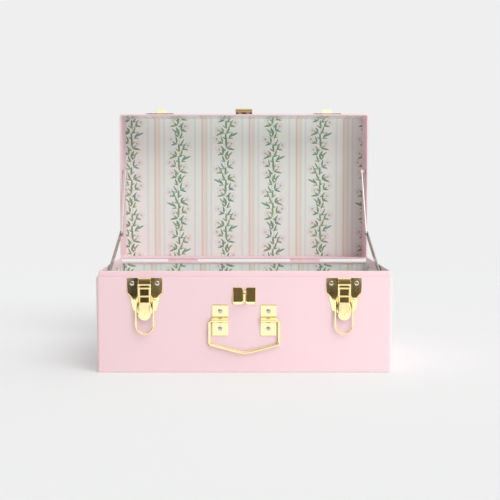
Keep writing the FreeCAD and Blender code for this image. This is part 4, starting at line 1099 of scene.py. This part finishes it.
def make_stay(name, side):
    """Two bars in neighbouring planes, with a headed stud at each end and a rivet at the elbow."""
    lower, upper = f"stay_lower_{name}", f"stay_upper_{name}"
    # The lower bar, the base stud and the elbow studs take the darker steel, painted shade; the upper bar
    # and the lid stud take the lighter steel, a painted highlight.
    make_link(f"lower_stay_bar_{name}", f"stay_lower_link_{name}", lower, side, (5, 6.5),
              BASE_PIVOT, ELBOW, SHADED_NICKEL)
    make_link(f"upper_stay_bar_{name}", f"stay_upper_link_{name}", upper, side, (6.8, 8.3),
              LID_PIVOT, ELBOW, NICKEL)
    shank = 2.45

    def stud(piece_name, node, body, spot, profile, place=STAY, material=SHADED_NICKEL):
        solid = Solid().turned((side * HALF_WIDTH, spot.y, spot.z), (-side, 0, 0), profile, 24)
        solid.piece(f"stay_{piece_name}_{name}", material, body, "stay_steel", f"stay_{node}_{name}",
                    place, crease=32)

    def headed(foot, seat, head):
        return [(1.2, 2.6), (1.3, 3.0), (foot, 3.0), (foot, shank), (seat, shank), (seat, 3.5),
                (seat + 0.2, 3.6), (head - 0.45, 3.0), (head - 0.2, 1.8), (head - 0.15, 0.0)]

    stud("base_stud", "base_pivot", "base", BASE_PIVOT, headed(4.9, 6.6, 7.6))
    stud("lid_stud", "lid_pivot", "lid", LID_PIVOT_CLOSED, headed(6.7, 8.4, 9.4), OPEN, NICKEL)
    tail = [(4.3, 0.0), (4.32, 2.4), (4.6, 3.4), (5.0, 3.6), (5.0, shank), (6.5, shank)]
    stud("elbow_foot", "elbow_tail", lower, ELBOW, tail)
    cap = [(6.8, shank), (8.3, shank), (8.3, 3.6), (8.5, 3.5), (8.9, 3.0), (9.1, 1.8), (9.15, 0.0)]
    stud("elbow_head", "elbow_cap", upper, ELBOW, cap)


for which, sign in SIDES.items():
    make_latch_plate(which, sign)
    make_latch_lever(which, sign)
    make_latch_bail(which, sign)
    make_keeper(which, sign)
    make_handle_strap(which, sign)
    make_hinge(which, sign)
    make_stay(which, sign)
make_staple()
make_handle()
make_hasp()
make_hinge_rivets()


# ---- studio ----

WHITE = (1, 1, 1, 1)
FLOOR_LEVEL = srgb(239, 239, 239)[0]
FLOOR_ALBEDO, FLOOR_LIFT = (0.715, 0.726, 0.728, 1), 0.165
FLOOR_REACH, FLOOR_FADE = 9, (0.9, 2.0)
SIDE_LIGHT, TOP_LIGHT, RIGHT_LIGHT, GROUND_LIGHT = 0.22, 0.56, 0.48, 1.25
SHEEN_LEFT, SHEEN_RIGHT = 0.2, 0.9
ROOM_DARK, ROOM_UPPER, ROOM_COLOUR = 0.04, 0.2, (1, 0.76, 0.48, 1)
ROOM_RIGHT, ROOM_STREAK = 0.07, 0.08
KEY, KEY_FROM, KEY_ANGLE = 1.28, (0.46, -0.62, 1.0), 44
FILL, FILL_AT, FILL_TO, FILL_SIZE = 2.05, (0.56, -0.68, 0.13), (0.12, 0, 0.1), 0.4
CAMERA_AT, CAMERA_TILT, CAMERA_LENS, CAMERA_SHIFT = (-0.0028, -1.1373, 0.2305), 4.46, 61.76, 0.0159


def make_floor():
    """A pale floor: it takes the soft shadow near the box and is plain light further off."""
    mesh = bpy.data.meshes.new("floor")
    rim = [(x, y, 0) for x, y in arc((0, 0), FLOOR_REACH, 0, 360, 96)[:-1]]
    mesh.from_pydata(rim, [], [tuple(range(len(rim)))])
    material = bpy.data.materials.new("pale_floor")
    n = Nodes(material)
    near, both = n.add("BsdfDiffuse"), n.add("AddShader")
    near.inputs["Color"].default_value = FLOOR_ALBEDO
    n.link(near.outputs[0], both.inputs[0])
    n.link(n.emission(WHITE, FLOOR_LIFT), both.inputs[1])
    distance = n.add("VectorMath", operation="LENGTH")
    n.link(n.add("TexCoord").outputs["Object"], distance.inputs[0])
    fade, mix = n.step(distance.outputs["Value"], *FLOOR_FADE), n.add("MixShader")
    for socket, value in zip(mix.inputs, (fade, both.outputs[0], n.emission(WHITE, FLOOR_LEVEL))):
        n.link(value, socket)
    n.link(mix.outputs[0], n.add("OutputMaterial").inputs["Surface"])
    mesh.materials.append(material)
    item = in_scene("floor", mesh)
    item.visible_glossy = False
    return item


def make_backdrop():
    """A plain pale dome that only the camera sees."""
    mesh = bpy.data.meshes.new("backdrop")
    work = bmesh.new()
    bmesh.ops.create_icosphere(work, subdivisions=4, radius=FLOOR_REACH - 0.1)
    work.to_mesh(mesh)
    work.free()
    material = bpy.data.materials.new("plain_backdrop")
    n = Nodes(material)
    n.link(n.emission(WHITE, FLOOR_LEVEL), n.add("OutputMaterial").inputs["Surface"])
    mesh.materials.append(material)
    item = in_scene("backdrop", mesh)
    item.visible_diffuse = item.visible_glossy = item.visible_transmission = False
    item.visible_shadow = False


def make_world():
    """Soft surroundings: bright above and to the right, a dim room in front, a lit ground."""
    world = bpy.data.worlds.new("studio")
    bpy.context.scene.world = world
    n = Nodes(world)
    split = n.add("SeparateXYZ")
    n.link(n.add("TexCoord").outputs["Generated"], split.inputs[0])
    x, y, z = split.outputs
    overhead, rightward = n.step(z, 0.1, 0.9, SIDE_LIGHT, TOP_LIGHT), n.step(x, -0.5, 0.7, 0, RIGHT_LIGHT)
    sky = n.math("ADD", overhead, rightward)
    # Polished metal mirrors brighter panels than the ones that light the paint.
    mirrored = n.add("LightPath").outputs["Is Glossy Ray"]
    sheen = n.math("MULTIPLY", mirrored, n.step(x, -0.6, 0.3, SHEEN_LEFT, SHEEN_RIGHT))
    sky = n.math("MULTIPLY", sky, n.math("ADD", 1, sheen))
    room = n.math("MULTIPLY", n.step(y, -0.35, -0.75), n.step(z, 0.66, 0.4))
    rising = n.step(z, 0.1, 0.45, ROOM_DARK, ROOM_UPPER)
    rising = n.math("ADD", rising, n.step(x, -0.1, 0.2, 0, ROOM_RIGHT))
    streak = n.math("MULTIPLY", n.step(x, -0.09, 0.0), n.step(x, 0.1, 0.02))
    rising = n.math("ADD", rising, n.math("MULTIPLY", streak, ROOM_STREAK))
    ground = n.step(z, 0.0, -0.02)
    light = n.blend(n.blend(sky, rising, room), GROUND_LIGHT, ground)
    warmth = n.math("MULTIPLY", room, n.math("SUBTRACT", 1, ground))
    back = n.add("Background")
    n.link(light, back.inputs["Strength"])
    n.link(n.mixed(warmth, WHITE, ROOM_COLOUR), back.inputs["Color"])
    n.link(back.outputs[0], n.add("OutputWorld").inputs["Surface"])


def make_lamp(name, kind, energy, towards_lamp, place=(0, 0, 0), **settings):
    """A lamp that shines from a direction and isn't mirrored in the metal."""
    lamp = bpy.data.lights.new(name, kind)
    lamp.energy = energy
    for key, value in settings.items():
        setattr(lamp, key, value)
    item = in_scene(name, lamp)
    item.location = place
    item.rotation_euler = Vector(towards_lamp).to_track_quat("Z", "Y").to_euler()
    item.visible_glossy = False
    return item


def make_fill(floor):
    """A soft panel near the right front, which lights that side of the box but not the floor."""
    facing = Vector(FILL_AT) - Vector(FILL_TO)
    item = make_lamp("fill", "AREA", FILL, facing, FILL_AT, shape="SQUARE", size=FILL_SIZE)
    unlit = bpy.data.collections.new("not_lit_by_fill")
    unlit.objects.link(floor)
    item.light_linking.receiver_collection = unlit
    unlit.collection_objects[0].light_linking.link_state = "EXCLUDE"


def make_camera():
    camera = bpy.data.cameras.new("camera")
    camera.lens, camera.sensor_width = CAMERA_LENS, 36
    camera.shift_x, camera.clip_end = CAMERA_SHIFT, 50
    item = in_scene("camera", camera)
    item.location = CAMERA_AT
    item.rotation_euler = (math.radians(90 - CAMERA_TILT), 0, 0)
    bpy.context.scene.camera = item


make_fill(make_floor())
make_backdrop()
make_world()
make_lamp("key", "SUN", KEY, KEY_FROM, angle=math.radians(KEY_ANGLE))
make_camera()
bpy.context.scene.view_settings.view_transform = "Standard"
